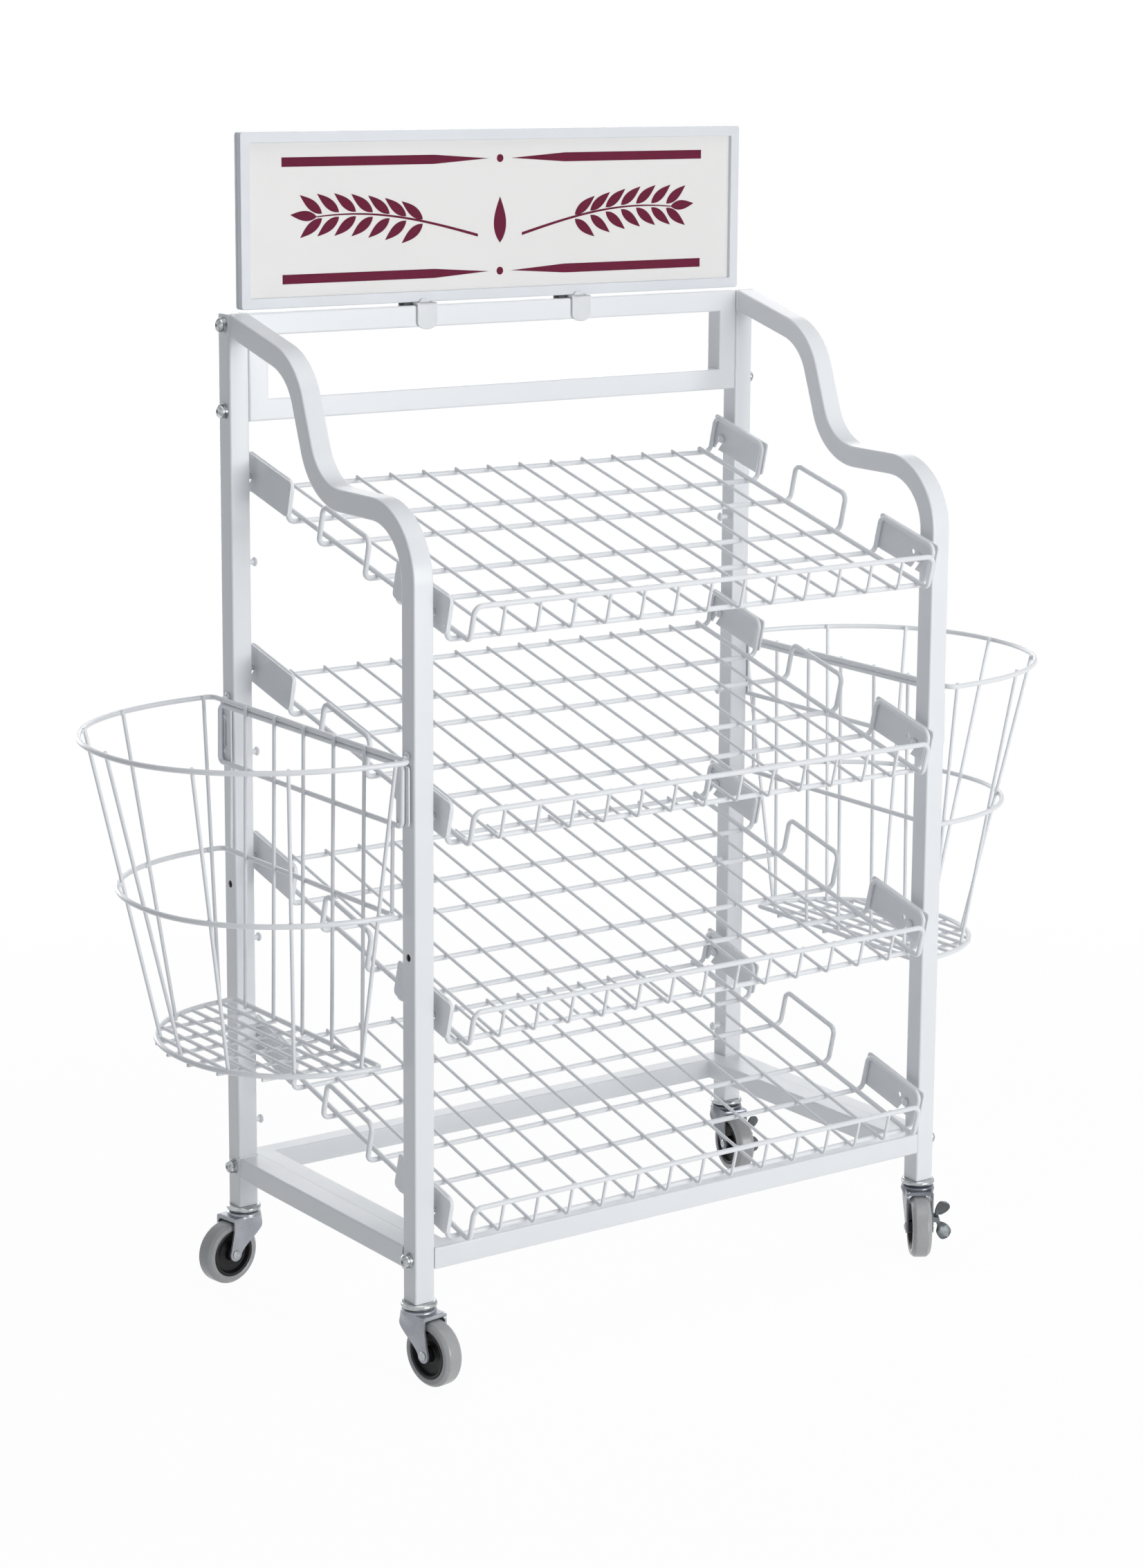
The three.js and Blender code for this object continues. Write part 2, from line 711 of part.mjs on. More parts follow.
// The mounting loop lies in the back wall and holds two slotted plates, with a hook over each.
function basketMount(sign) {
  const high = foot + basketTop - railDrop;
  const low = high - loopDepth;
  const half = postY + loopPast;
  const at = (y, z) => v3(sign * (outerX + backAt(z - foot)), y, z);
  const corners = [at(half, low), at(half, high), at(-half, high), at(-half, low)];
  const bendSteps = 1;
  const bodies = [wire(rounded(corners, loopCorner, bendSteps, true), ringRadius, v3(1, 0, 0), true)];
  const plateMiddle = sign * (outerX + basketPlay + basketPlateThickness / 2);
  for (const end of [-1, 1]) {
    const plateCenter = v3(plateMiddle, end * postY, (high + low) / 2);
    const sheet = box(basketPlateThickness, basketPlateWidth, basketPlateHeight, plateCenter);
    const slot = box(basketPlateThickness + 2 * overcut, slotWidth, slotLength, plateCenter);
    bodies.push(sheet.subtract(slot), basketHook(sign, end, high));
  }
  return bodies;
}

// A round hook that rises from the mounting loop and enters the post's hole.
function basketHook(sign, end, loopZ) {
  const tip = foot + hookHeight - hookHoleRadius + hookRadius + seam;
  const out = outerX + backTop;
  const y = end * postY;
  const corners = [
    v3(sign * out, y, loopZ),
    v3(sign * out, y, tip),
    v3(sign * (outerX - hookReach), y, tip),
  ];
  const outline = Array.from({ length: hookSides }, (_, i) => {
    const a = 2 * Math.PI * (i + 0.5) / hookSides;
    return [hookRadius * Math.cos(a), hookRadius * Math.sin(a)];
  });
  const bendSteps = 2;
  return sweep(outline, rounded(corners, hookRadius + seam, bendSteps), v3(0, 1, 0));
}

function basket(sign) {
  const rings = [basketTop, basketMiddle, basketBottom].map((z) => ring(sign, z));
  return join([...rings, ...basketWalls(sign), ...basketFloor(sign), ...basketMount(sign)]);
}

function buildBaskets() {
  piece('basket_left', basket(-1), white);
  piece('basket_right', basket(1), white);
}

// Sign: a channel frame round a printed board and its clear cover, held on the back rail by two clips.
function buildSign() {
  const railTop = backTopZ + halfTube;
  const low = railTop + clipThickness + 2 * seam;
  const middle = v3(0, postY, low + signHeight / 2);
  const windowWidth = signWidth - 2 * signBorder;
  const windowHeight = signHeight - 2 * signBorder;
  const sheetWidth = windowWidth + 2 * panelInset;
  const sheetHeight = windowHeight + 2 * panelInset;
  const front = postY - signDepth / 2;
  const grooveDepth = coverThickness + panelThickness + 3 * seam;
  const grooveMiddle = middle.clone().setY(front + signLip + grooveDepth / 2);
  const window = box(windowWidth, signDepth + 2 * overcut, windowHeight, middle);
  const groove = box(sheetWidth + 2 * seam, grooveDepth, sheetHeight + 2 * seam, grooveMiddle);
  piece('sign_frame', cut(box(signWidth, signDepth, signHeight, middle), [window, groove]), channel);
  const coverY = front + signLip + seam + coverThickness / 2;
  piece('sign_cover', box(sheetWidth, coverThickness, sheetHeight, middle.clone().setY(coverY)), clear);
  const boardY = coverY + coverThickness / 2 + seam + panelThickness / 2;
  piece('sign_board', box(sheetWidth, panelThickness, sheetHeight, middle.clone().setY(boardY)), print);
  for (const [side, sign] of [['left', -1], ['right', 1]]) {
    piece(`sign_clip_${side}`, clip(sign * clipSpread / 2, railTop), clipPlastic);
  }
}

// A hook of flat strip over the back rail, long and round-ended at the front.
function clip(x, railTop) {
  const web = railTop + seam;
  const frontY = postY - halfTube - seam;
  const backY = postY + halfTube + seam;
  const width = backY - frontY + 2 * clipThickness;
  const half = clipWidth / 2;
  const tongue = new THREE.Shape();
  const straight = clipDrop - half / 2;
  tongue.moveTo(-half, weld);
  tongue.lineTo(-half, -straight);
  tongue.quadraticCurveTo(-half, -clipDrop, 0, -clipDrop);
  tongue.quadraticCurveTo(half, -clipDrop, half, -straight);
  tongue.lineTo(half, weld);
  const curveSteps = 3;
  const sheet = new THREE.ExtrudeGeometry(tongue, {
    depth: clipThickness, bevelEnabled: false, curveSegments: curveSteps,
  });
  sheet.rotateX(Math.PI / 2).translate(x, frontY, web);
  const backMiddle = v3(x, backY + clipThickness / 2, web + (weld - clipBackDrop) / 2);
  return join([
    box(clipWidth, width, clipThickness, v3(x, postY, web + clipThickness / 2)),
    solid(sheet),
    box(clipWidth, clipThickness, clipBackDrop + weld, backMiddle),
  ]);
}

// Casters. Each is built with its swivel axis on the origin and the wheel trailing towards -Y.
const forkInner = wheelWidth / 2 + forkSideClearance;
const forkOuter = forkInner + forkWall;

function casterHead() {
  const top = foot - seam;
  const shoulder = top - headHeight;
  const pinEnd = crownUnder - kingPinHeadHeight - seam;
  return turned([
    [0, pinEnd],
    [kingPinHead, pinEnd],
    [kingPinHead, crownUnder - seam],
    [kingPinRadius, crownUnder - seam],
    [kingPinRadius, shoulder],
    [raceRadius, shoulder],
    [headRadius, top],
    [stemRadius, top],
    [stemRadius, top + stemLength],
    [0, top + stemLength],
  ], lathSides);
}

function forkLeg(rightFace) {
  const side = new THREE.Shape();
  side.moveTo(-forkLead, crownTop);
  side.lineTo(-forkLead, crownTop - forkWaist);
  const earSteps = 5;
  for (let i = 0; i <= earSteps; i++) {
    const a = Math.PI * (1.15 + 0.85 * i / earSteps);
    side.lineTo(casterTrail + forkEar * Math.cos(a), axleHeight + forkEar * Math.sin(a));
  }
  side.lineTo(forkTail, crownTop - forkWaist);
  side.lineTo(forkTail, crownTop);
  const sheet = new THREE.ExtrudeGeometry(side, { depth: forkWall, bevelEnabled: false });
  // Drawn with the trail to the right, then stood up facing along X with the trail towards -Y.
  const stand = new THREE.Matrix4().makeBasis(v3(0, -1, 0), v3(0, 0, 1), v3(-1, 0, 0));
  return solid(sheet.applyMatrix4(stand).translate(rightFace, 0, 0));
}

function fork(braked) {
  const crownLength = forkLead + forkTail;
  const crownMiddle = v3(0, (forkLead - forkTail) / 2, crownUnder + forkWall / 2);
  const crown = box(2 * forkOuter, crownLength, forkWall, crownMiddle);
  const raceDepth = forkWall + raceHeight;
  const race = rod('z', raceRadius, raceDepth, lathSides, v3(0, 0, crownUnder + raceDepth / 2));
  let body = join([crown, race, forkLeg(forkOuter), forkLeg(-forkInner)]);
  const pinBoreLength = 4 * raceDepth;
  const bore = rod('z', kingPinRadius + runningGap, pinBoreLength, lathSides, v3(0, 0, crownTop));
  const axleBore = rod('x', axleRadius + seam, 3 * forkOuter, boltSides, v3(0, -casterTrail, axleHeight));
  body = cut(body, [bore, axleBore]);
  if (!braked) return body;
  const pivot = pedalPivot();
  const lugDepth = pedalStandOff + pedalBarrel;
  for (const end of [-1, 1]) {
    const y = pivot.y + end * (pedalWidth / 2 + runningGap + lugThickness / 2);
    const lugMiddle = v3(forkOuter + (lugDepth - weld) / 2, y, pivot.z);
    body = body.add(box(lugDepth + weld, lugThickness, lugLength, lugMiddle));
  }
  const pinBore = rod('y', pedalPin + runningGap, 2 * pedalWidth, boltSides, pivot);
  return body.subtract(pinBore);
}

const pedalPivot = () => v3(forkOuter + pedalStandOff, pedalAhead - casterTrail, axleHeight + pedalLift);

function pedal() {
  const pivot = pedalPivot();
  const half = pedalWingWidth / 2;
  const root = pedalWidth / 2 - runningGap;
  const flare = pedalBarrel + lugThickness;
  const pinLength = pedalWidth + 2 * (runningGap + lugThickness);
  const bodies = [
    rod('y', pedalBarrel, pedalWidth, boltSides, pivot),
    rod('y', pedalPin, pinLength, boltSides, pivot),
  ];
  for (const turn of [-1, 1]) {
    const wing = new THREE.Shape();
    wing.moveTo(0, -root);
    wing.lineTo(flare, -root);
    wing.lineTo(pedalWing - half, -half);
    const endSteps = 4;
    for (let i = 1; i < endSteps; i++) {
      const a = Math.PI * (i / endSteps - 0.5);
      wing.lineTo(pedalWing - half + half * Math.cos(a), half * Math.sin(a));
    }
    wing.lineTo(pedalWing - half, half);
    wing.lineTo(flare, root);
    wing.lineTo(0, root);
    const sheet = new THREE.ExtrudeGeometry(wing, { depth: pedalSheet, bevelEnabled: false });
    sheet.translate(0, 0, -pedalSheet / 2).rotateY(-turn * pedalSpread);
    bodies.push(solid(sheet.translate(pivot.x, pivot.y, pivot.z)));
  }
  return join(bodies);
}

function axle() {
  const span = 2 * (forkOuter + seam);
  const center = v3(0, -casterTrail, axleHeight);
  const bodies = [rod('x', axleRadius, span + axleHeadHeight, boltSides, center)];
  for (const end of [-1, 1]) {
    const x = end * (span + axleHeadHeight) / 2;
    bodies.push(rod('x', axleHead, axleHeadHeight, boltSides, v3(x, center.y, center.z)));
  }
  return join(bodies);
}

// Turns a profile of (radius, place along the axle) points round the axle, a flat facing the floor.
function onAxle(profile, sides) {
  const geometry = geometryOf(turned(profile, sides));
  geometry.rotateZ(Math.PI / wheelSides).rotateY(Math.PI / 2).translate(0, -casterTrail, axleHeight);
  return solid(geometry);
}

function tyre() {
  const inner = wheelRadius - tyreThickness;
  const half = wheelWidth / 2;
  return onAxle([
    [inner, -half], [wheelRadius - tyreShoulder, -half], [wheelRadius, -half + tyreShoulder],
    [wheelRadius, half - tyreShoulder], [wheelRadius - tyreShoulder, half], [inner, half], [inner, -half],
  ], wheelSides);
}

function hub() {
  const rimRadius = wheelRadius - tyreThickness - seam;
  const half = wheelWidth / 2;
  const bossEnd = forkInner - runningGap;
  const bore = axleRadius + runningGap;
  const web = half - hubRecess;
  return onAxle([
    [bore, -bossEnd], [hubBoss, -bossEnd], [hubBoss, -web], [rimRadius, -half],
    [rimRadius, half], [hubBoss, web], [hubBoss, bossEnd], [bore, bossEnd], [bore, -bossEnd],
  ], hubSides);
}

// Square plug in the post's end that grips the caster's stem.
function insert() {
  const size = tube - 2 * tubeWall - 2 * seam;
  const low = foot + seam;
  const body = box(size, size, insertLength, v3(0, 0, low + insertLength / 2));
  const bore = rod('z', stemRadius + seam, 2 * insertLength + 2 * overcut, lathSides, v3(0, 0, low));
  return body.subtract(bore);
}

function buildCasters() {
  for (const [end, y] of [['front', -postY], ['rear', postY]]) {
    for (const [side, x] of [['left', -postX], ['right', postX]]) {
      const place = `${end}_${side}`;
      const braked = side === 'right';
      const still = new THREE.Group();
      still.position.set(x, y, 0);
      rack.add(still);
      piece(`leg_insert_${place}`, insert(), insertBlack, still);
      piece(`caster_head_${place}`, casterHead(), zinc, still);
      const swivel = new THREE.Group();
      swivel.rotation.z = headings[place];
      still.add(swivel);
      piece(`caster_fork_${place}`, fork(braked), zinc, swivel);
      piece(`caster_axle_${place}`, axle(), zinc, swivel);
      piece(`caster_hub_${place}`, hub(), hubBlack, swivel);
      piece(`caster_tyre_${place}`, tyre(), tyreGrey, swivel);
      if (braked) piece(`brake_pedal_${place}`, pedal(), zinc, swivel);
    }
  }
}

buildFrame();
buildBolts();
buildShelves();
buildBaskets();
buildSign();
buildCasters();

// The box of the whole rack is centred over the origin, and its casters stand at zero height.
rack.updateMatrixWorld(true);
const bounds = new THREE.Box3().setFromObject(rack, true);
const middle = bounds.getCenter(v3(0, 0, 0));
rack.position.set(-middle.x, -middle.y, -bounds.min.z);

export default rack;
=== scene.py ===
"""A white bakery bread rack: the looks of its pieces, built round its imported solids.

Metres, in the solids' frame: +X to the right seen from the front, +Y to the back, +Z up."""

import json
import math

import bmesh
import bpy
from mathutils import Matrix, Vector


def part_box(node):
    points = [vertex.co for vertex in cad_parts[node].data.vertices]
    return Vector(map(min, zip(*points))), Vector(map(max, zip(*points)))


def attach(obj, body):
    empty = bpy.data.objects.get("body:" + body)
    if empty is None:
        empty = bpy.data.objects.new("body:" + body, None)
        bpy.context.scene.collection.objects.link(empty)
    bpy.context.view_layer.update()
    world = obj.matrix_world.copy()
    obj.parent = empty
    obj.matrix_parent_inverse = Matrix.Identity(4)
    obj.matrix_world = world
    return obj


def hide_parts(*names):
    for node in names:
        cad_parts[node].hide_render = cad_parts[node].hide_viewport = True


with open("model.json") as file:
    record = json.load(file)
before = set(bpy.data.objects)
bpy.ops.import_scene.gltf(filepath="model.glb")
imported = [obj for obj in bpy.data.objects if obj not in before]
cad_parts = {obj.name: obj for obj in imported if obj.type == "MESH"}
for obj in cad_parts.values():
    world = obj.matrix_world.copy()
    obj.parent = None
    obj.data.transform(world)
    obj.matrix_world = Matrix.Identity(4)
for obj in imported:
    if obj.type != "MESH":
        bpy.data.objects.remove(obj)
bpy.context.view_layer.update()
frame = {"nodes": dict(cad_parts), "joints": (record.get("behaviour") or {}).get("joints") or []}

X, Y, Z = Vector((1, 0, 0)), Vector((0, 1, 0)), Vector((0, 0, 1))
SIDES = (("left", -1), ("right", 1))
CORNERS = ("front_left", "front_right", "rear_left", "rear_right")

# Square tube frame
TUBE = 0.026
TUBE_WALL = 0.0015
TUBE_ROUND = 0.0025
SEAM_DIP = 0.0002  # how far the filler between two touching tubes lies under their faces
ARM_END_HEIGHT = 1.0695  # heights are above the posts' ends
KNEE_HEIGHT = 1.0335
KNEE_SETBACK = 0.139
DROP_REACH = 0.0505
STEP_HEIGHT = 0.8945
BEND_RADIUS = 0.075
HOOK_HEIGHT = 0.6305
HOOK_HOLE = 0.0045
POST_END_ROUND = 0.0012
WELD_BEAD = 0.0013

# Studs and shelves
SHELF_COUNT = 4
SHELF_PITCH = 0.2286
TOP_STUD_HEIGHT = 0.7885
STUD_RISE = 0.1016
STUD_REACH = 0.0148
STUD_NECK = 0.0032
STUD_HEAD = 0.0056
STUD_HEAD_HEIGHT = 0.0042
ROD = 0.0031
WIRE = 0.002
LOOP_LENGTH = 0.103
LOOP_GAP = 0.0715
LOOP_HEIGHT = 0.048
LOOP_BEND = 0.009
FRONT_OVERHANG = 0.024
STUD_ABOVE_RODS = 0.024
HANGER_GAP = 0.0075
PLATE = 0.0025
PLATE_BORDER = 0.005
PLATE_LOW = 0.007
NOTCH_LEAN = math.radians(28)
NOTCH_HALF = 0.0036
WIRE_COUNT = 13
RIM_INSET = 0.017
RIM_SPACE = 0.0435
WIRE_TAIL = 0.003
LIP_REACH = 0.0165
LIP_HEIGHT = 0.046
LIP_BEND = 0.006
RIM_FOOT_BEND = 0.007
RIM_TOP_BEND = 0.010
WELD_SINK = 0.0006  # how far a welded wire sinks into the next

# Baskets
RING = 0.0031
BASKET_WIRE = 0.0022
BASKET_TOP = 0.627
BASKET_MIDDLE = 0.4485
BASKET_BOTTOM = 0.268
TOP_REACH = 0.259
TOP_HALF = 0.219
BOTTOM_REACH = 0.167
BOTTOM_HALF = 0.166
BACK_LEAN = 0.005
BASKET_SHIFT = 0.005
OVAL_POWER = 2.2
RING_BEND = 0.010
BASKET_PLAY = 0.0022
BASKET_PLATE = 0.002
BASKET_PLATE_WIDTH = 0.026
BASKET_PLATE_HEIGHT = 0.068
SLOT_WIDTH = 0.006
SLOT_LENGTH = 0.032
BOSS_SPACE = 0.021
RAIL_DROP = 0.0065
MOUNT_DEPTH = 0.0685
MOUNT_PAST = 0.003
MOUNT_SHIFT = 0.003
FRONT_PLATE_SHIFT = 0.005
STRUT_HALF = 0.180  # the middle to each strut under the loop
MOUNT_BEND = 0.007
HOOK_WIRE = 0.0029
HOOK_COLLAR = 0.0049
HOOK_REST = 0.0015  # the hole's centre down to the resting hook
HOOK_REACH = 0.005
COLLAR_GAP = 0.0003
BACK_WIRES = 5
BACK_WIRE_PITCH = 0.066
SIDE_WIRE_TOPS = (0.014, 0.165, 0.315, 0.5, 0.685, 0.835, 0.986)  # along the half-oval, rear to front
SIDE_WIRE_BOTTOMS = (0.038, 0.188, 0.35, 0.5, 0.65, 0.812, 0.962)
FLOOR_LONG_WIRES = 7
FLOOR_CROSS_WIRES = 6

# Places that the solids give
rear_low, rear_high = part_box("rear_post_left")
FOOT = rear_low.z
POST_TOP = rear_high.z
POST_X = -rear_low.x - TUBE / 2
REAR_Y = rear_high.y - TUBE / 2
FRONT_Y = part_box("front_post_left")[0].y + TUBE / 2
INNER_X = POST_X - TUBE / 2
OUTER_X = POST_X + TUBE / 2
REAR_FACE = REAR_Y - TUBE / 2
MIDDLE_Y = (FRONT_Y + REAR_Y) / 2
SLOPE = math.atan2(STUD_RISE, REAR_Y - FRONT_Y)


def middle(node):
    low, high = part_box(node)
    return (low + high) / 2


BASE_Z = middle("base_front_rail").z
BACK_TOP_Z = middle("back_frame_top_rail").z
BACK_LOW_Z = middle("back_frame_lower_rail").z


# Shapes: each is a list of points and a list of faces
class Builder:
    """Gathers the shapes of one piece."""

    def __init__(self):
        self.points = []
        self.faces = []

    def add(self, shape, place=None):
        points, faces = shape
        start = len(self.points)
        self.points += [place @ p if place else p for p in points]
        self.faces += [[start + i for i in face] for face in faces]
        return self

    def mesh(self, name):
        mesh = bpy.data.meshes.new(name)
        mesh.from_pydata([tuple(p) for p in self.points], [], self.faces)
        work = bmesh.new()
        work.from_mesh(mesh)
        bmesh.ops.remove_doubles(work, verts=work.verts, dist=1e-6)
        bmesh.ops.recalc_face_normals(work, faces=work.faces)
        work.to_mesh(mesh)
        work.free()
        return mesh


def rounded(corners, radii, steps, closed=False):
    """A path with its corners rounded by arcs, of one radius or of one for each corner."""
    count = len(corners)
    path = []
    for i, corner in enumerate(corners):
        radius = radii[i] if isinstance(radii, (list, tuple)) else radii
        if radius <= 0 or (not closed and i in (0, count - 1)):
            path.append(corner.copy())
            continue
        before = (corners[i - 1] - corner).normalized()
        after = (corners[(i + 1) % count] - corner).normalized()
        half = before.angle(after) / 2
        center = corner + (before + after).normalized() * (radius / math.sin(half))
        start = corner + before * (radius / math.tan(half)) - center
        axis = before.cross(after)
        for k in range(steps + 1):
            turn = Matrix.Rotation(-(math.pi - 2 * half) * k / steps, 3, axis)
            path.append(center + turn @ start)
    return path


def sweep(section, path, side, closed=False, scales=None, start_plane=None, end_plane=None):
    """A section carried along a path, mitred at its corners; its first axis starts along side."""
    count, sides = len(path), len(section)
    runs = count if closed else count - 1
    heads = [(path[(i + 1) % count] - path[i]).normalized() for i in range(runs)]
    across = (side - heads[0] * side.dot(heads[0])).normalized()

    def ring(i, along, plane):
        other = along.cross(across)
        size = scales[i] if scales else 1
        for a, b in section:
            offset = (across * a + other * b) * size
            yield path[i] + offset - along * (offset.dot(plane) / along.dot(plane))

    points = []
    for i in range(count):
        into = heads[i - 1] if closed or i else heads[0]
        out = heads[min(i, runs - 1)]
        along = into if i else out
        plane = (into + out).normalized()
        if not closed and i == 0 and start_plane:
            plane = start_plane
        if not closed and i == count - 1 and end_plane:
            plane = end_plane
        points += ring(i, along, plane)
        across.rotate(along.rotation_difference(out))
    slip = 0
    if closed:
        last = list(ring(0, heads[-1], (heads[-1] + heads[0]).normalized()))
        misses = [sum((p - points[(j + k) % sides]).length for j, p in enumerate(last)) for k in range(sides)]
        slip = misses.index(min(misses))
    faces = []
    for i in range(runs):
        after = (i + 1) % count
        shift = slip if closed and after == 0 else 0
        for j in range(sides):
            k = (j + 1) % sides
            faces.append([i * sides + j, i * sides + k,
                          after * sides + (k + shift) % sides, after * sides + (j + shift) % sides])
    if not closed:
        faces.append(list(range(sides))[::-1])
        faces.append([(count - 1) * sides + j for j in range(sides)])
    return points, faces


def circle(radius, sides):
    return [(radius * math.cos(2 * math.pi * k / sides), radius * math.sin(2 * math.pi * k / sides))
            for k in range(sides)]


def wire(path, radius, side=Z, closed=False, sides=14):
    """A round wire, with its open ends a little domed."""
    if closed:
        return sweep(circle(radius, sides), path, side, True)
    first = (path[1] - path[0]).normalized() * radius
    last = (path[-2] - path[-1]).normalized() * radius
    path = [path[0], path[0] + first * 0.2, path[0] + first * 0.6, *path[1:-1],
            path[-1] + last * 0.6, path[-1] + last * 0.2, path[-1]]
    scales = [0.55, 0.86, 1] + [1] * (len(path) - 6) + [1, 0.86, 0.55]
    return sweep(circle(radius, sides), path, side, False, scales)


def rounded_square(size, radius, steps=4):
    half = size / 2
    corners = [Vector(c) for c in ((half, -half, 0), (half, half, 0), (-half, half, 0), (-half, -half, 0))]
    return [(p.x, p.y) for p in rounded(corners, radius, steps, True)]


def lathe(profile, segments=48, closed=False):
    """Turns (radius, height) points about +Z; the profile climbs on the outside."""
    points, faces, rings = [], [], []
    for radius, height in profile:
        turns = segments if radius > 1e-7 else 1
        rings.append(range(len(points), len(points) + turns))
        for k in range(turns):
            angle = 2 * math.pi * k / segments
            points.append(Vector((radius * math.cos(angle), radius * math.sin(angle), height)))
    pairs = list(zip(rings, rings[1:])) + ([(rings[-1], rings[0])] if closed else [])
    for low, high in pairs:
        for k in range(segments):
            n = k + 1
            quad = (low[k % len(low)], low[n % len(low)], high[n % len(high)], high[k % len(high)])
            faces.append(list(dict.fromkeys(quad)))
    return points, faces


def softened(profile, radius, steps=3, closed=False):
    """A (radius, height) profile with its corners rounded."""
    path = rounded([Vector((r, h, 0)) for r, h in profile], radius, steps, closed)
    return [(p.x, p.y) for p in path]


def sheet(outlines, thickness, edge):
    """A flat sheet in XY, centred on Z = 0; the first outline is outside, the others are holes."""
    curve = bpy.data.curves.new("sheet", "CURVE")
    curve.dimensions = "2D"
    curve.fill_mode = "BOTH"
    curve.extrude = thickness / 2 - edge
    curve.bevel_depth = edge
    curve.bevel_resolution = 2
    curve.offset = -edge
    for outline in outlines:
        spline = curve.splines.new("POLY")
        spline.use_cyclic_u = True
        spline.points.add(len(outline) - 1)
        for point, (x, y) in zip(spline.points, outline):
            point.co = (x, y, 0, 1)
    holder = bpy.data.objects.new("sheet", curve)
    mesh = bpy.data.meshes.new_from_object(holder)
    shape = [v.co.copy() for v in mesh.vertices], [list(p.vertices) for p in mesh.polygons]
    bpy.data.objects.remove(holder)
    bpy.data.curves.remove(curve)
    bpy.data.meshes.remove(mesh)
    return shape


def rounded_outline(corners, radii, steps=4):
    """A closed outline in XY with its corners rounded."""
    path = rounded([Vector((x, y, 0)) for x, y in corners], radii, steps, True)
    return [(p.x, p.y) for p in path]


def rectangle(width, height, radius, center=(0, 0), steps=4):
    x, y = center
    w, h = width / 2, height / 2
    return rounded_outline([(x - w, y - h), (x + w, y - h), (x + w, y + h), (x - w, y + h)], radius, steps)


def disc(radius, center=(0, 0), sides=24):
    return [(center[0] + a, center[1] + b) for a, b in circle(radius, sides)]


def placed(origin, x_axis, y_axis, z_axis):
    """The matrix that puts a shape's own axes along the three given ones."""
    turn = Matrix((x_axis, y_axis, z_axis)).transposed().to_4x4()
    return Matrix.Translation(origin) @ turn


# Materials
def shader(name):
    material = bpy.data.materials.new(name)
    material.use_nodes = True
    nodes = material.node_tree.nodes
    return material, nodes, material.node_tree.links, nodes["Principled BSDF"]


def noise(nodes, links, scale, detail, stretch=(1, 1, 1)):
    """Noise in the piece's own coordinates; scale is in bumps per metre."""
    where = nodes.new("ShaderNodeTexCoord")
    mapping = nodes.new("ShaderNodeMapping")
    mapping.inputs["Scale"].default_value = stretch
    texture = nodes.new("ShaderNodeTexNoise")
    texture.inputs["Scale"].default_value = scale
    texture.inputs["Detail"].default_value = detail
    links.new(where.outputs["Object"], mapping.inputs["Vector"])
    links.new(mapping.outputs["Vector"], texture.inputs["Vector"])
    return texture.outputs["Fac"]


def ranged(nodes, links, value, low, high):
    """Spreads noise, which keeps near its middle, over a range."""
    spread = nodes.new("ShaderNodeMapRange")
    spread.inputs["From Min"].default_value = 0.3
    spread.inputs["From Max"].default_value = 0.7
    spread.inputs["To Min"].default_value = low
    spread.inputs["To Max"].default_value = high
    links.new(value, spread.inputs["Value"])
    return spread.outputs["Result"]


def finish(name, color, other, roughness, metallic=0.0, mottle=14, grain=900, relief=0.03, depth=0.0004,
           stretch=(1, 1, 1), specular=0.5, coat=0.0):
    """A surface mottled between two colours, with a range of roughness and a fine grain."""
    material, nodes, links, surface = shader(name)
    surface.inputs["Metallic"].default_value = metallic
    surface.inputs["Specular IOR Level"].default_value = specular
    surface.inputs["Coat Weight"].default_value = coat
    cloud = noise(nodes, links, mottle, 4)
    blend = nodes.new("ShaderNodeMix")
    blend.data_type = "RGBA"
    blend.inputs["A"].default_value = (*color, 1)
    blend.inputs["B"].default_value = (*other, 1)
    links.new(ranged(nodes, links, cloud, 0, 1), blend.inputs["Factor"])
    links.new(blend.outputs["Result"], surface.inputs["Base Color"])
    smear = noise(nodes, links, mottle * 3.1, 5)
    links.new(ranged(nodes, links, smear, *roughness), surface.inputs["Roughness"])
    bump = nodes.new("ShaderNodeBump")
    bump.inputs["Strength"].default_value = relief
    bump.inputs["Distance"].default_value = depth
    links.new(noise(nodes, links, grain, 3, stretch), bump.inputs["Height"])
    links.new(bump.outputs["Normal"], surface.inputs["Normal"])
    return material


powder_coat = finish("powder_coat", (0.81, 0.825, 0.84), (0.80, 0.815, 0.832), (0.28, 0.31),
                     mottle=9, grain=650, relief=0.03, depth=0.0003)
# The zinc plating in two copies: the lighter one on the left casters' yokes and the darker one on the right casters'
# yokes, as painted light and shade
zinc = finish("zinc_plate", (0.42, 0.435, 0.47), (0.33, 0.345, 0.38), (0.20, 0.32), 0.5,
              mottle=45, grain=1400, relief=0.10, depth=0.0002, stretch=(1, 1, 0.12))
painted_shade_zinc = finish("painted_shade_zinc", (0.215, 0.230, 0.262), (0.155, 0.168, 0.195), (0.20, 0.32), 0.5,
                   mottle=45, grain=1400, relief=0.10, depth=0.0002, stretch=(1, 1, 0.12))
# The brake pedals' very dark zinc is painted shade, like the darker zinc of the right casters' yokes that carry them
pedal_zinc_painted_shade = finish("pedal_zinc_painted_shade", (0.115, 0.125, 0.130), (0.085, 0.095, 0.10), (0.30, 0.42), 0.6,
                    mottle=70, grain=1400, relief=0.10, depth=0.0002)
bright_zinc = finish("bright_zinc", (0.50, 0.52, 0.525), (0.36, 0.38, 0.39), (0.12, 0.22), 0.9,
                     mottle=110, grain=1800, relief=0.06, depth=0.0001)
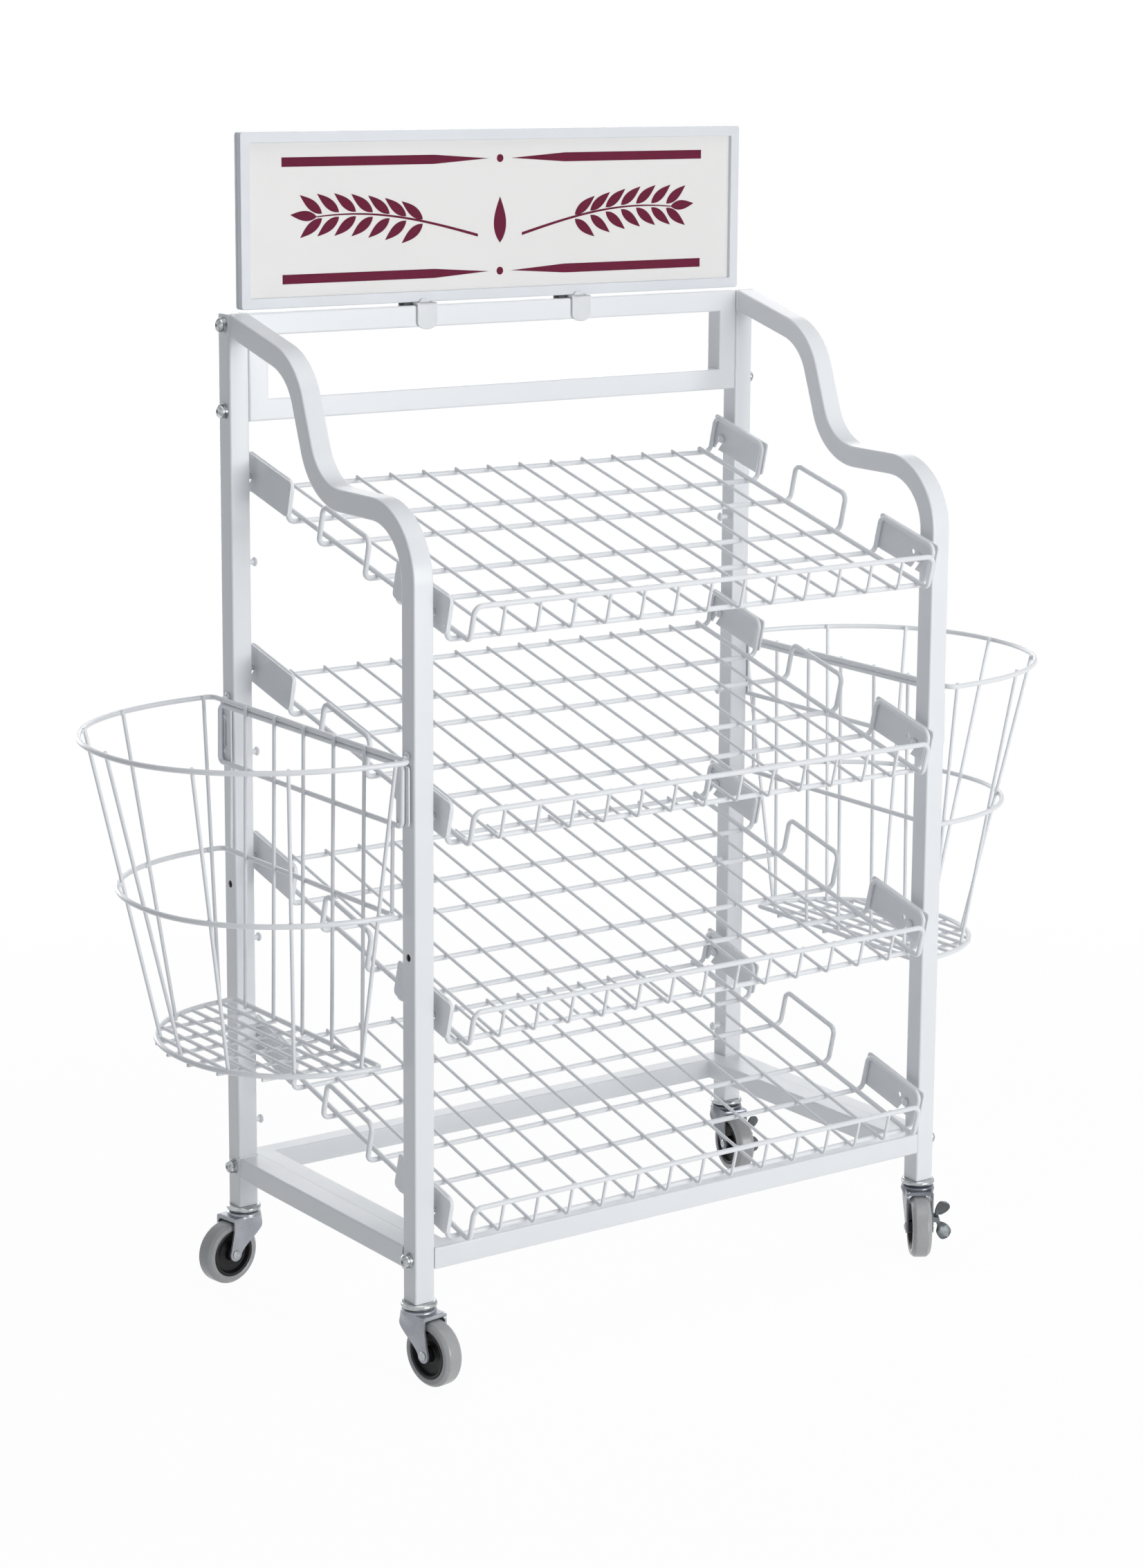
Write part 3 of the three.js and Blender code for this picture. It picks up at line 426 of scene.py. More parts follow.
# The bolts' strong mottle, from bright to nearly black zinc, is painted reflection: patches that stand in for the domed
# heads' highlights and dark reflections
bolt_zinc_painted_reflection = finish("bolt_zinc_painted_reflection", (0.66, 0.68, 0.69), (0.15, 0.165, 0.18), (0.12, 0.20), 0.85,
                   mottle=170, grain=1800, relief=0.06, depth=0.0001)
tyre_rubber = finish("tyre_rubber", (0.385, 0.39, 0.395), (0.36, 0.365, 0.37), (0.22, 0.32),
                     mottle=25, grain=2200, relief=0.06, depth=0.0002)
hub_plastic = finish("hub_plastic", (0.008, 0.008, 0.009), (0.012, 0.012, 0.014), (0.34, 0.48),
                     mottle=50, grain=1500, relief=0.08, depth=0.0002, specular=0.25)
plug_plastic = finish("plug_plastic", (0.020, 0.020, 0.021), (0.028, 0.028, 0.030), (0.45, 0.60),
                      mottle=50, grain=1500, relief=0.08, depth=0.0002)
channel = finish("channel_grey", (0.72, 0.745, 0.775), (0.69, 0.715, 0.745), (0.34, 0.46),
                 mottle=12, grain=1100, relief=0.05, depth=0.0002)
board_white = finish("board_white", (0.80, 0.788, 0.772), (0.77, 0.757, 0.741), (0.38, 0.50),
                     mottle=4, grain=1600, relief=0.03, depth=0.0001)
print_ink = finish("print_ink", (0.150, 0.003, 0.034), (0.128, 0.002, 0.028), (0.60, 0.70),
                   mottle=60, grain=1600, relief=0.03, depth=0.0001, specular=0.0)
clip_plastic = finish("clip_plastic", (0.74, 0.75, 0.765), (0.70, 0.71, 0.725), (0.32, 0.44),
                      mottle=60, grain=1300, relief=0.06, depth=0.0002)


def clear_sheet():
    material, nodes, links, surface = shader("clear_cover")
    surface.inputs["Base Color"].default_value = (0.97, 0.975, 0.98, 1)
    surface.inputs["Alpha"].default_value = 0.012
    surface.inputs["Specular IOR Level"].default_value = 0.05
    smear = noise(nodes, links, 25, 4)
    links.new(ranged(nodes, links, smear, 0.04, 0.10), surface.inputs["Roughness"])
    return material


cover_clear = clear_sheet()

# How each piece becomes an object
SHARP = math.radians(38)


def dress(obj, material, weighted=True):
    obj.data.materials.clear()
    obj.data.materials.append(material)
    obj.data.shade_smooth()
    obj.data.set_sharp_from_angle(angle=SHARP)
    if weighted:
        normals = obj.modifiers.new("normals", "WEIGHTED_NORMAL")
        normals.keep_sharp = True


def piece(name, mesh, material, body, nodes=()):
    """An object that rides on a body, takes a material and hides the solids named."""
    obj = bpy.data.objects.new(name, mesh)
    bpy.context.scene.collection.objects.link(obj)
    dress(obj, material)
    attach(obj, body)
    if nodes:
        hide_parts(*nodes)
    return obj


def carved(mesh, cutters):
    """The mesh with the cutters' shapes taken out of it."""
    scene = bpy.context.scene
    obj = bpy.data.objects.new("carved", mesh)
    scene.collection.objects.link(obj)
    tools = []
    for k, cutter in enumerate(cutters):
        tool = bpy.data.objects.new(f"cutter_{k}", cutter.mesh("cutter"))
        scene.collection.objects.link(tool)
        tools.append(tool)
        bore = obj.modifiers.new("bore", "BOOLEAN")
        bore.operation = "DIFFERENCE"
        bore.solver = "EXACT"
        bore.object = tool
    bpy.context.view_layer.update()
    whole = obj.evaluated_get(bpy.context.evaluated_depsgraph_get())
    result = bpy.data.meshes.new_from_object(whole)
    for used in [obj, *tools]:
        bpy.data.objects.remove(used)
    return result


def thickened(mesh, thickness, offset, edge):
    """A surface given its sheet thickness and eased edges."""
    scene = bpy.context.scene
    obj = bpy.data.objects.new("thickened", mesh)
    scene.collection.objects.link(obj)
    solid = obj.modifiers.new("solid", "SOLIDIFY")
    solid.thickness = thickness
    solid.offset = offset
    solid.use_even_offset = True
    ease = obj.modifiers.new("ease", "BEVEL")
    ease.width = edge
    ease.segments = 2
    ease.limit_method = "ANGLE"
    ease.angle_limit = math.radians(50)
    bpy.context.view_layer.update()
    whole = obj.evaluated_get(bpy.context.evaluated_depsgraph_get())
    result = bpy.data.meshes.new_from_object(whole)
    bpy.data.objects.remove(obj)
    return result


# Posts and rails
TUBE_SECTION = rounded_square(TUBE, TUBE_ROUND)


def stud_level(k):
    return FOOT + TOP_STUD_HEIGHT - k * SHELF_PITCH


def facing(origin, outward):
    """Puts a lathed shape's +Z along an outward axis."""
    return Matrix.Translation(origin) @ Z.rotation_difference(outward).to_matrix().to_4x4()


def stud(sign, y, z):
    neck = STUD_REACH - STUD_HEAD_HEIGHT
    ease = 0.0008
    crown = [(STUD_HEAD * math.cos(a), neck + ease + (STUD_HEAD_HEIGHT - ease) * math.sin(a))
             for a in (math.pi / 2 * k / 6 for k in range(7))]
    profile = [(0, -TUBE_WALL), (STUD_NECK + ease, -TUBE_WALL), (STUD_NECK + ease, 0), (STUD_NECK, ease),
               (STUD_NECK, neck - ease), (STUD_HEAD - ease, neck - ease / 2), *crown[:-1], (0, crown[-1][1])]
    return lathe(profile, 28), facing(Vector((sign * INNER_X, y, z)), -sign * X)


def bead(center, normal, across):
    """A painted weld bead round a tube's end, against the face that the normal leaves."""
    up = normal.cross(across)
    path = [center + across * a + up * b for a, b in rounded_square(TUBE, TUBE_ROUND, 3)]
    return wire(path, WELD_BEAD, normal, True, 8)


def hook_cutters(sign, y):
    cutters = []
    for level in (FOOT + HOOK_HEIGHT, FOOT + HOOK_HEIGHT - SHELF_PITCH):
        drill = lathe([(0, -0.005), (HOOK_HOLE, -0.005), (HOOK_HOLE, 0.005), (0, 0.005)], 28)
        cutters.append(Builder().add(drill, facing(Vector((sign * OUTER_X, y, level)), sign * X)))
    return cutters


def hollow(sign, y, top):
    bore = rounded_square(TUBE - 2 * TUBE_WALL, TUBE_ROUND - TUBE_WALL, 2)
    path = [Vector((sign * POST_X, y, FOOT - 0.01)), Vector((sign * POST_X, y, top))]
    return Builder().add(sweep(bore, path, X))


def rear_post(side, sign):
    x = sign * POST_X
    ends = [FOOT, POST_TOP - POST_END_ROUND, POST_TOP - POST_END_ROUND * 0.3, POST_TOP]
    inset = POST_END_ROUND / (TUBE / 2)
    path = [Vector((x, REAR_Y, z)) for z in ends]
    body = Builder().add(sweep(TUBE_SECTION, path, X, scales=[1, 1, 1 - inset * 0.3, 1 - inset]))
    cutters = [hollow(sign, REAR_Y, POST_TOP - 0.003), *hook_cutters(sign, REAR_Y)]
    tube = carved(body.mesh("tube"), cutters)
    post = Builder().add(shape_of(tube))
    for k in range(SHELF_COUNT):
        for rise in (0, STUD_RISE):
            post.add(*stud(sign, REAR_Y, stud_level(k) + rise))
    piece(f"rear_post_tube_{side}", post.mesh("rear_post"), powder_coat, "frame",
          [f"rear_post_{side}"])


def shape_of(mesh):
    shape = [v.co.copy() for v in mesh.vertices], [list(p.vertices) for p in mesh.polygons]
    bpy.data.meshes.remove(mesh)
    return shape


def front_post(side, sign):
    x = sign * POST_X
    knee_y = REAR_FACE - KNEE_SETBACK
    corners = [
        Vector((x, REAR_FACE, FOOT + ARM_END_HEIGHT)),
        Vector((x, knee_y, FOOT + KNEE_HEIGHT)),
        Vector((x, knee_y - DROP_REACH, FOOT + STEP_HEIGHT)),
        Vector((x, FRONT_Y, FOOT + STEP_HEIGHT)),
        Vector((x, FRONT_Y, FOOT)),
    ]
    bend_steps = 14
    path = rounded(corners, BEND_RADIUS, bend_steps)
    body = Builder().add(sweep(TUBE_SECTION, path, X, start_plane=Y))
    cutters = [hollow(sign, FRONT_Y, FOOT + HOOK_HEIGHT + 0.05), *hook_cutters(sign, FRONT_Y)]
    post = Builder().add(shape_of(carved(body.mesh("tube"), cutters)))
    post.add(bead(Vector((x, REAR_FACE - WELD_BEAD / 2, FOOT + ARM_END_HEIGHT - WELD_BEAD / 2)), -Y, X))
    for k in range(SHELF_COUNT):
        post.add(*stud(sign, FRONT_Y, stud_level(k)))
    piece(f"front_post_tube_{side}", post.mesh("front_post"), powder_coat, "frame",
          [f"front_post_{side}"])


def side_rail(side, sign):
    x = sign * POST_X
    front = FRONT_Y + TUBE / 2
    path = [Vector((x, front, BASE_Z)), Vector((x, REAR_FACE, BASE_Z))]
    rail = Builder().add(sweep(TUBE_SECTION, path, X))
    rail.add(bead(Vector((x, front + WELD_BEAD / 2, BASE_Z)), Y, X))
    rail.add(bead(Vector((x, REAR_FACE - WELD_BEAD / 2, BASE_Z)), -Y, X))
    half = TUBE / 2 - SEAM_DIP
    filler = [(-TUBE_ROUND, -half), (TUBE_ROUND, -half), (TUBE_ROUND, half), (-TUBE_ROUND, half)]
    rail.add(sweep(filler, [Vector((sign * INNER_X, p.y, BASE_Z)) for p in path], X))
    piece(f"side_rail_tube_{side}", rail.mesh("side_rail"), powder_coat, "frame",
          [f"side_rail_{side}"])


def welded_frames():
    """The two welded rectangles that are bolted between the posts."""
    reach = middle("base_inner_rail_right").x
    back = [Vector((s * reach, REAR_Y, z)) for s, z in
            ((-1, BACK_LOW_Z), (1, BACK_LOW_Z), (1, BACK_TOP_Z), (-1, BACK_TOP_Z))]
    base = [Vector((s * reach, y, BASE_Z)) for s, y in
            ((-1, FRONT_Y), (1, FRONT_Y), (1, REAR_Y), (-1, REAR_Y))]
    uprights = [f"back_frame_upright_{side}" for side, _ in SIDES]
    inner = [f"base_inner_rail_{side}" for side, _ in SIDES]
    for name, path, normal, nodes in (
            ("back_frame", back, Y, ["back_frame_top_rail", "back_frame_lower_rail", *uprights]),
            ("base_frame", base, Z, ["base_front_rail", "base_rear_rail", *inner])):
        ring = Builder().add(sweep(TUBE_SECTION, path, normal, True))
        piece(name, ring.mesh(name), powder_coat, "frame", nodes)


# Bolts
BOLT_HEAD = 0.0082
BOLT_HEAD_HEIGHT = 0.0066
SOCKET = 0.0020
SOCKET_DEPTH = 0.0012
FLAT_WASHER = 0.0095
SPRING_WASHER = 0.0087
WASHER_HEIGHT = 0.0015


def bolt(name, sign):
    lap = 0.0002
    spring_top = 2 * WASHER_HEIGHT
    flat = softened([(0, -lap), (FLAT_WASHER, -lap), (FLAT_WASHER, WASHER_HEIGHT), (0, WASHER_HEIGHT)],
                    [0, 0.0004, 0.0004, 0])
    spring = softened([(0, WASHER_HEIGHT - lap), (SPRING_WASHER, WASHER_HEIGHT - lap),
                       (SPRING_WASHER, spring_top), (0, spring_top)], [0, 0.0003, 0.0003, 0])
    dome = [(SOCKET + (BOLT_HEAD - SOCKET) * math.cos(a),
             spring_top + 0.001 + (BOLT_HEAD_HEIGHT - 0.001) * math.sin(a) ** 0.9)
            for a in (math.pi / 2 * k / 8 for k in range(9))]
    floor = spring_top + BOLT_HEAD_HEIGHT - SOCKET_DEPTH
    head = [(0, spring_top - lap), (BOLT_HEAD - 0.0004, spring_top - lap), *dome,
            (SOCKET * 0.92, dome[-1][1] - 0.0004), (SOCKET * 0.9, floor), (0, floor - 0.0005)]
    place = facing(Vector((sign * OUTER_X, middle(name).y, middle(name).z)), sign * X)
    body = Builder()
    for profile in (flat, spring, head):
        body.add(lathe(profile, 36), place)
    piece(f"{name}_set", body.mesh(name), bolt_zinc_painted_reflection, "frame", [name])


# Shelves
LOOP_X = INNER_X - HANGER_GAP - PLATE - ROD + WELD_SINK
RIM_X = LOOP_X - RIM_INSET
WIRE_LIFT = ROD + WIRE - WELD_SINK
RIM_LIFT = 2 * ROD - 2 * WELD_SINK
LOOP_STARTS = [-FRONT_OVERHANG + i * (LOOP_LENGTH + LOOP_GAP) for i in range(3)]
REAR_ROD = LOOP_STARTS[-1] + LOOP_LENGTH
LIP_BACK = -FRONT_OVERHANG - LIP_REACH
LIP_FRONT = LIP_BACK - ROD - WIRE + WELD_SINK
BEND_STEPS = 7


def on_shelf(k):
    """Places x, the distance back from the front studs along the slope, and the height over the rods."""
    def place(x, back, up):
        rise = up - STUD_ABOVE_RODS
        return Vector((x, FRONT_Y + back * math.cos(SLOPE) - rise * math.sin(SLOPE),
                       stud_level(k) + back * math.sin(SLOPE) + rise * math.cos(SLOPE)))
    return place


def end_loop(place, start):
    corners = []
    for x, ends in ((-LOOP_X, (start, start + LOOP_LENGTH)), (LOOP_X, (start + LOOP_LENGTH, start))):
        corners += [place(x, ends[0], 0), place(x, ends[0], LOOP_HEIGHT),
                    place(x, ends[1], LOOP_HEIGHT), place(x, ends[1], 0)]
    return wire(rounded(corners, LOOP_BEND, BEND_STEPS, True), ROD, X, True)


def cross_wire(place, x):
    corners = [place(x, REAR_ROD + WIRE_TAIL, WIRE_LIFT), place(x, LIP_BACK, WIRE_LIFT),
               place(x, LIP_BACK, LIP_HEIGHT + ROD * 0.3)]
    return wire(rounded(corners, LIP_BEND, BEND_STEPS), WIRE, X, sides=12)


def rim(place):
    corners = [place(-RIM_X, REAR_ROD + WIRE_TAIL, RIM_LIFT), place(-RIM_X, LIP_FRONT, RIM_LIFT),
               place(-RIM_X, LIP_FRONT, LIP_HEIGHT), place(RIM_X, LIP_FRONT, LIP_HEIGHT),
               place(RIM_X, LIP_FRONT, RIM_LIFT), place(RIM_X, REAR_ROD + WIRE_TAIL, RIM_LIFT)]
    bends = [0, RIM_FOOT_BEND, RIM_TOP_BEND, RIM_TOP_BEND, RIM_FOOT_BEND, 0]
    return wire(rounded(corners, bends, BEND_STEPS), ROD, X)


def nugget(size):
    """A small painted weld where two wires cross."""
    profile = [(size * math.sin(a), -size * math.cos(a)) for a in (math.pi * k / 6 for k in range(7))]
    profile[0], profile[-1] = (0, -size), (0, size)
    return lathe(profile, 10)


def hanger(shelf, place, sign, start, stud_back):
    """A sheet hanger on an end loop, with a notch that drops over the stud."""
    high = LOOP_HEIGHT + PLATE_BORDER / 2
    near, far = start - PLATE_BORDER, start + LOOP_LENGTH + PLATE_BORDER
    lean = Vector((math.sin(NOTCH_LEAN), -math.cos(NOTCH_LEAN), 0))
    aside = Vector((lean.y, -lean.x, 0))
    seat = Vector((stud_back, STUD_ABOVE_RODS, 0))

    def mouth(edge):
        """Where one edge of the notch meets the sheet's lower edge."""
        start_point = seat + aside * edge
        return start_point + lean * ((PLATE_LOW - start_point.y) / lean.y)

    arch = [seat + (aside * math.cos(a) - lean * math.sin(a)) * NOTCH_HALF
            for a in (math.pi * k / 8 for k in range(9))]
    notch = [mouth(NOTCH_HALF), *arch, mouth(-NOTCH_HALF)]
    if notch[0].x > notch[-1].x:
        notch.reverse()
    low_round, high_round = 0.006, 0.004
    corners = [(near, PLATE_LOW), *[(p.x, p.y) for p in notch], (far, PLATE_LOW), (far, high), (near, high)]
    radii = [low_round, *[0] * len(notch), low_round, high_round, high_round]
    outlines = [rounded_outline(corners, radii)]
    if stud_back == 0:
        outlines.append(disc(0.0032, (0.014, STUD_ABOVE_RODS + 0.003), 20))
    flat = sheet(outlines, PLATE, 0.0005)
    axes = place(0, 1, 0) - place(0, 0, 0), place(0, 0, 1) - place(0, 0, 0)
    inner = INNER_X - HANGER_GAP - PLATE
    origin = place(sign * (inner + PLATE / 2), 0, 0)
    shelf.add(flat, placed(origin, *axes, axes[0].cross(axes[1])))
    outer = sign * (inner + PLATE)
    dot = lathe([(0.0017, 0), (0.0012, 0.0003), (0, 0.0004)], 12)
    for share in (0.2, 0.5, 0.8):
        along = start + LOOP_LENGTH * share
        for spot in ((along, LOOP_HEIGHT), (start, PLATE_LOW + (high - PLATE_LOW) * share),
                     (start + LOOP_LENGTH, PLATE_LOW + (high - PLATE_LOW) * share)):
            shelf.add(dot, facing(place(outer, *spot), sign * X))


def shelf(k):
    place = on_shelf(k)
    body = Builder()
    for start in LOOP_STARTS:
        body.add(end_loop(place, start))
    first = -RIM_X + RIM_SPACE
    pitch = -2 * first / (WIRE_COUNT - 1)
    wires = [first + i * pitch for i in range(WIRE_COUNT)]
    for x in wires:
        body.add(cross_wire(place, x))
    body.add(rim(place))
    backs = [start + end for start in LOOP_STARTS for end in (0, LOOP_LENGTH)]
    small = nugget(0.0023)
    for back in backs:
        for x in [-RIM_X, *wires, RIM_X]:
            body.add(small, Matrix.Translation(place(x, back, ROD * 0.9)))
    for x in wires:
        body.add(small, Matrix.Translation(place(x, LIP_BACK - WIRE * 0.8, LIP_HEIGHT)))
    span = (REAR_Y - FRONT_Y) / math.cos(SLOPE)
    for _, sign in SIDES:
        hanger(body, place, sign, LOOP_STARTS[0], 0)
        hanger(body, place, sign, LOOP_STARTS[-1], span)
    piece(f"shelf_{k + 1}_wires", body.mesh("shelf"), powder_coat, f"shelf_{k + 1}",
          [f"shelf_{k + 1}"])


# Baskets. Heights are above the posts' ends; the half-ovals stand in front of a straight back.
BASKET_STEP = RING + BASKET_WIRE - WELD_SINK
BACK_TOP = BASKET_PLAY + BASKET_PLATE + RING - WELD_SINK
OVAL_STEPS = 56


def down(z):
    return (BASKET_TOP - z) / (BASKET_TOP - BASKET_BOTTOM)


def back_at(z):
    return BACK_TOP + BACK_LEAN * down(z)


def reach_at(z):
    return TOP_REACH + (BOTTOM_REACH - TOP_REACH) * down(z)


def half_at(z):
    return TOP_HALF + (BOTTOM_HALF - TOP_HALF) * down(z)


def oval(sign, z, t, inset=0.0):
    """A point of the half-oval at t from 0, the rear, to 1, the front, drawn in by an inset."""
    angle = math.pi * (t - 0.5)
    c = max(math.cos(angle), 0) ** (2 / OVAL_POWER)
    s = math.copysign(abs(math.sin(angle)) ** (2 / OVAL_POWER), math.sin(angle))
    out = back_at(z) + (reach_at(z) - inset) * c
    return Vector((sign * (OUTER_X + out), MIDDLE_Y + BASKET_SHIFT - (half_at(z) - inset) * s, FOOT + z))


def spaced(first, i, steps):
    return first + (1 - 2 * first) * i / steps


def basket_ring(sign, z):
    """A straight back that turns into the half-oval by a short bend at each end."""
    x = sign * (OUTER_X + back_at(z))
    arc_points = [oval(sign, z, spaced(0.004, i, OVAL_STEPS)) for i in range(OVAL_STEPS + 1)]
    clear = [p for p in arc_points if abs(p.x - x) > RING_BEND]
    edge = half_at(z)
    center = MIDDLE_Y + BASKET_SHIFT
    path = []
    for k in range(BEND_STEPS + 1):
        a = math.pi / 2 * k / BEND_STEPS
        path.append(Vector((x + sign * RING_BEND * (1 - math.cos(a)),
                            center + edge - RING_BEND * (1 - math.sin(a)), FOOT + z)))
    mirror = [Vector((p.x, 2 * center - p.y, p.z)) for p in reversed(path)]
    return wire([*path, *clear, *mirror], RING, Z, True)


def straight(body, low, high, nub, side=X):
    run = (high - low).normalized() * nub
    body.add(wire([low - run, high + run], BASKET_WIRE, side, sides=12))


def basket_walls(body, sign):
    nub = 0.0034
    weld = nugget(0.0031)
    for top, bottom in zip(SIDE_WIRE_TOPS, SIDE_WIRE_BOTTOMS):
        low = oval(sign, BASKET_BOTTOM, bottom, BASKET_STEP)
        high = oval(sign, BASKET_TOP, top, BASKET_STEP)
        straight(body, low, high, nub)
        for z, t in ((BASKET_TOP, top), (BASKET_MIDDLE, (top + bottom) / 2), (BASKET_BOTTOM, bottom)):
            body.add(weld, Matrix.Translation(oval(sign, z, t, BASKET_STEP * 0.6)))
    for i in range(BACK_WIRES):
        y = MIDDLE_Y + BASKET_SHIFT + (i - (BACK_WIRES - 1) / 2) * BACK_WIRE_PITCH
        ends = [Vector((sign * (OUTER_X + back_at(z) + BASKET_STEP), y, FOOT + z))
                for z in (BASKET_BOTTOM, BASKET_TOP)]
        straight(body, *ends, nub)


def basket_floor(body, sign):
    base = OUTER_X + back_at(BASKET_BOTTOM)
    reach, half = BOTTOM_REACH, BOTTOM_HALF
    center = MIDDLE_Y + BASKET_SHIFT
    z = FOOT + BASKET_BOTTOM
    nub = 0.002
    long_lift = 2 * BASKET_WIRE - WELD_SINK - BASKET_STEP
    weld = nugget(0.0045)
    flat = Matrix.Diagonal((1, 1, 0.6, 1))
    for i in range(1, FLOOR_LONG_WIRES + 1):
        out = reach * i / (FLOOR_LONG_WIRES + 1)
        end = half * (1 - (out / reach) ** OVAL_POWER) ** (1 / OVAL_POWER) - nub
        ends = [Vector((sign * (base + out), center + y, z + long_lift)) for y in (-end, end)]
        straight(body, *ends, 0)
    for i in range(FLOOR_CROSS_WIRES):
        y = 2 * half * ((i + 1) / (FLOOR_CROSS_WIRES + 1) - 0.5)
        far = base + reach * (1 - abs(y / half) ** OVAL_POWER) ** (1 / OVAL_POWER)
        ends = [Vector((sign * x, center + y, z - BASKET_STEP)) for x in (base, far)]
        straight(body, *ends, nub, Z)
        for k in range(1, FLOOR_LONG_WIRES + 1):
            out = reach * k / (FLOOR_LONG_WIRES + 1)
            if base + out < far:
                spot = Vector((sign * (base + out), center + y, z + long_lift - BASKET_WIRE))
                body.add(weld, Matrix.Translation(spot) @ flat)


def basket_mount(body, sign):
    """The mounting loop in the back wall, its two slotted plates and their hooks."""
    high = BASKET_TOP - RAIL_DROP
    low = high - MOUNT_DEPTH
    half = (REAR_Y - FRONT_Y) / 2 + MOUNT_PAST
    center_y = MIDDLE_Y + MOUNT_SHIFT
    corners = [Vector((sign * (OUTER_X + back_at(z)), center_y + y, FOOT + z))
               for y, z in ((half, low), (half, high), (-half, high), (-half, low))]
    body.add(wire(rounded(corners, MOUNT_BEND, BEND_STEPS, True), RING, X, True))
    for end in (-1, 1):
        ends = [Vector((sign * (OUTER_X + back_at(z)), MIDDLE_Y + end * STRUT_HALF, FOOT + z))
                for z in (BASKET_MIDDLE, low)]
        straight(body, *ends, 0)
    plate_x = sign * (OUTER_X + BASKET_PLAY + BASKET_PLATE / 2)
    slot_round = 0.0029
    outlines = [rectangle(BASKET_PLATE_WIDTH, BASKET_PLATE_HEIGHT, 0.004),
                rectangle(SLOT_WIDTH, SLOT_LENGTH, slot_round)]
    flat = sheet(outlines, BASKET_PLATE, 0.0004)
    boss = lathe([(0.0034, 0), (0.0032, 0.0009), (0.0022, 0.0017), (0, 0.0020)], 20)
    tip = FOOT + HOOK_HEIGHT - HOOK_REST
    collar = lathe(softened([(0, 0), (HOOK_COLLAR, 0), (HOOK_COLLAR, 0.0012), (HOOK_WIRE, 0.0024), (0, 0.0024)],
                            [0, 0.0004, 0.0007, 0.0006, 0]), 28)
    out = sign * (OUTER_X + BACK_TOP)
    for y in (FRONT_Y, REAR_Y):
        shift = FRONT_PLATE_SHIFT if y == FRONT_Y else 0
        center = Vector((plate_x, y + shift, FOOT + (high + low) / 2))
        body.add(flat, placed(center, Y, Z, X))
        for end in (-1, 1):
            body.add(boss, facing(center + sign * X * (BASKET_PLATE / 2) + end * Z * BOSS_SPACE, sign * X))
        path = [Vector((out, y, FOOT + high)), Vector((out, y, tip)), Vector((sign * (OUTER_X - HOOK_REACH), y, tip))]
        body.add(wire(rounded(path, HOOK_WIRE + 0.0004, BEND_STEPS), HOOK_WIRE, Y))
        shoulder = Vector((sign * (OUTER_X + COLLAR_GAP), y, FOOT + HOOK_HEIGHT))
        body.add(collar, facing(shoulder, sign * X))


def basket(side, sign):
    body = Builder()
    for z in (BASKET_TOP, BASKET_MIDDLE, BASKET_BOTTOM):
        body.add(basket_ring(sign, z))
    basket_walls(body, sign)
    basket_floor(body, sign)
    basket_mount(body, sign)
    piece(f"basket_{side}_wires", body.mesh("basket"), powder_coat, f"basket_{side}",
          [f"basket_{side}"])


# Sign
SIGN_BORDER = 0.0125
SIGN_BEZEL = 0.0085  # depth of the front half of the channel
CHANNEL_SEAM = 0.0006
CLIP_DROP = 0.029
CLIP_WIDTH = 0.028
CLIP_THICKNESS = 0.003
BAR_HALF = 0.0055
BAR_START = 0.304
BAR_TAPER = 0.095
BAR_TIP = 0.016
BAR_FROM_TOP = 0.035
BAR_FROM_BOTTOM = 0.033
DOT = 0.0048


def sign_frame():
    low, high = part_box("sign_frame")
    width, height = high.x - low.x, high.z - low.z
    center = (low + high) / 2
    outlines = [rectangle(width, height, 0.003), rectangle(width - 2 * SIGN_BORDER, height - 2 * SIGN_BORDER, 0.0012)]
    back_depth = high.y - low.y - SIGN_BEZEL - CHANNEL_SEAM
    tongue_outer = rectangle(width - 0.0016, height - 0.0016, 0.0024)
    body = Builder()
    for outline, depth, front in ((outlines[0], SIGN_BEZEL, low.y), (tongue_outer, 2 * CHANNEL_SEAM + 0.001, low.y + SIGN_BEZEL - 0.0005),
                                  (outlines[0], back_depth, high.y - back_depth)):
        origin = Vector((center.x, front + depth / 2, center.z))
        ease = min(0.0009, depth / 4)
        body.add(sheet([outline, outlines[1]], depth, ease), placed(origin, X, Z, X.cross(Z)))
    piece("sign_channel", body.mesh("sign_channel"), channel, "sign", ["sign_frame"])


def leaf(tip, root, width):
    """A pointed oval between two points, as an outline."""
    run = tip - root
    aside = Vector((-run.y, run.x)).normalized() * width
    steps = 10
    edge = [(k / steps, math.sin(math.pi * (k / steps) ** 0.8)) for k in range(steps + 1)]
    outline = [root + run * t + aside * w for t, w in edge] + [root + run * t - aside * w for t, w in edge[-2:0:-1]]
    return [(p.x, p.y) for p in outline]


def ear_of_wheat(mirror):
    """Outlines of a bowed stalk with pairs of grains, in the sign's plane."""
    outlines = []
    stalk_length, bow, thick = 0.225, 0.030, 0.0018

    def on_stalk(t):
        return Vector((mirror * (0.032 + stalk_length * t), -0.024 + bow * math.sin(math.pi * t * 0.62)))

    steps = 24
    top = [on_stalk(t / steps) + Vector((0, thick * (1 - 0.6 * t / steps))) for t in range(steps + 1)]
    under = [on_stalk(t / steps) - Vector((0, thick * (1 - 0.6 * t / steps))) for t in range(steps, -1, -1)]
    outlines.append([(p.x, p.y) for p in top + under])
    pairs = 7
    for k in range(pairs):
        t = 0.34 + 0.62 * k / (pairs - 1)
        root = on_stalk(t)
        for lift in (-1, 1):
            tip = root + Vector((mirror * 0.032, lift * 0.025))
            outlines.append(leaf(tip, root + Vector((mirror * 0.002, lift * 0.0026)), 0.0060))
    end = on_stalk(1)
    outlines.append(leaf(end + Vector((mirror * 0.036, 0.003)), end, 0.0060))
    return outlines


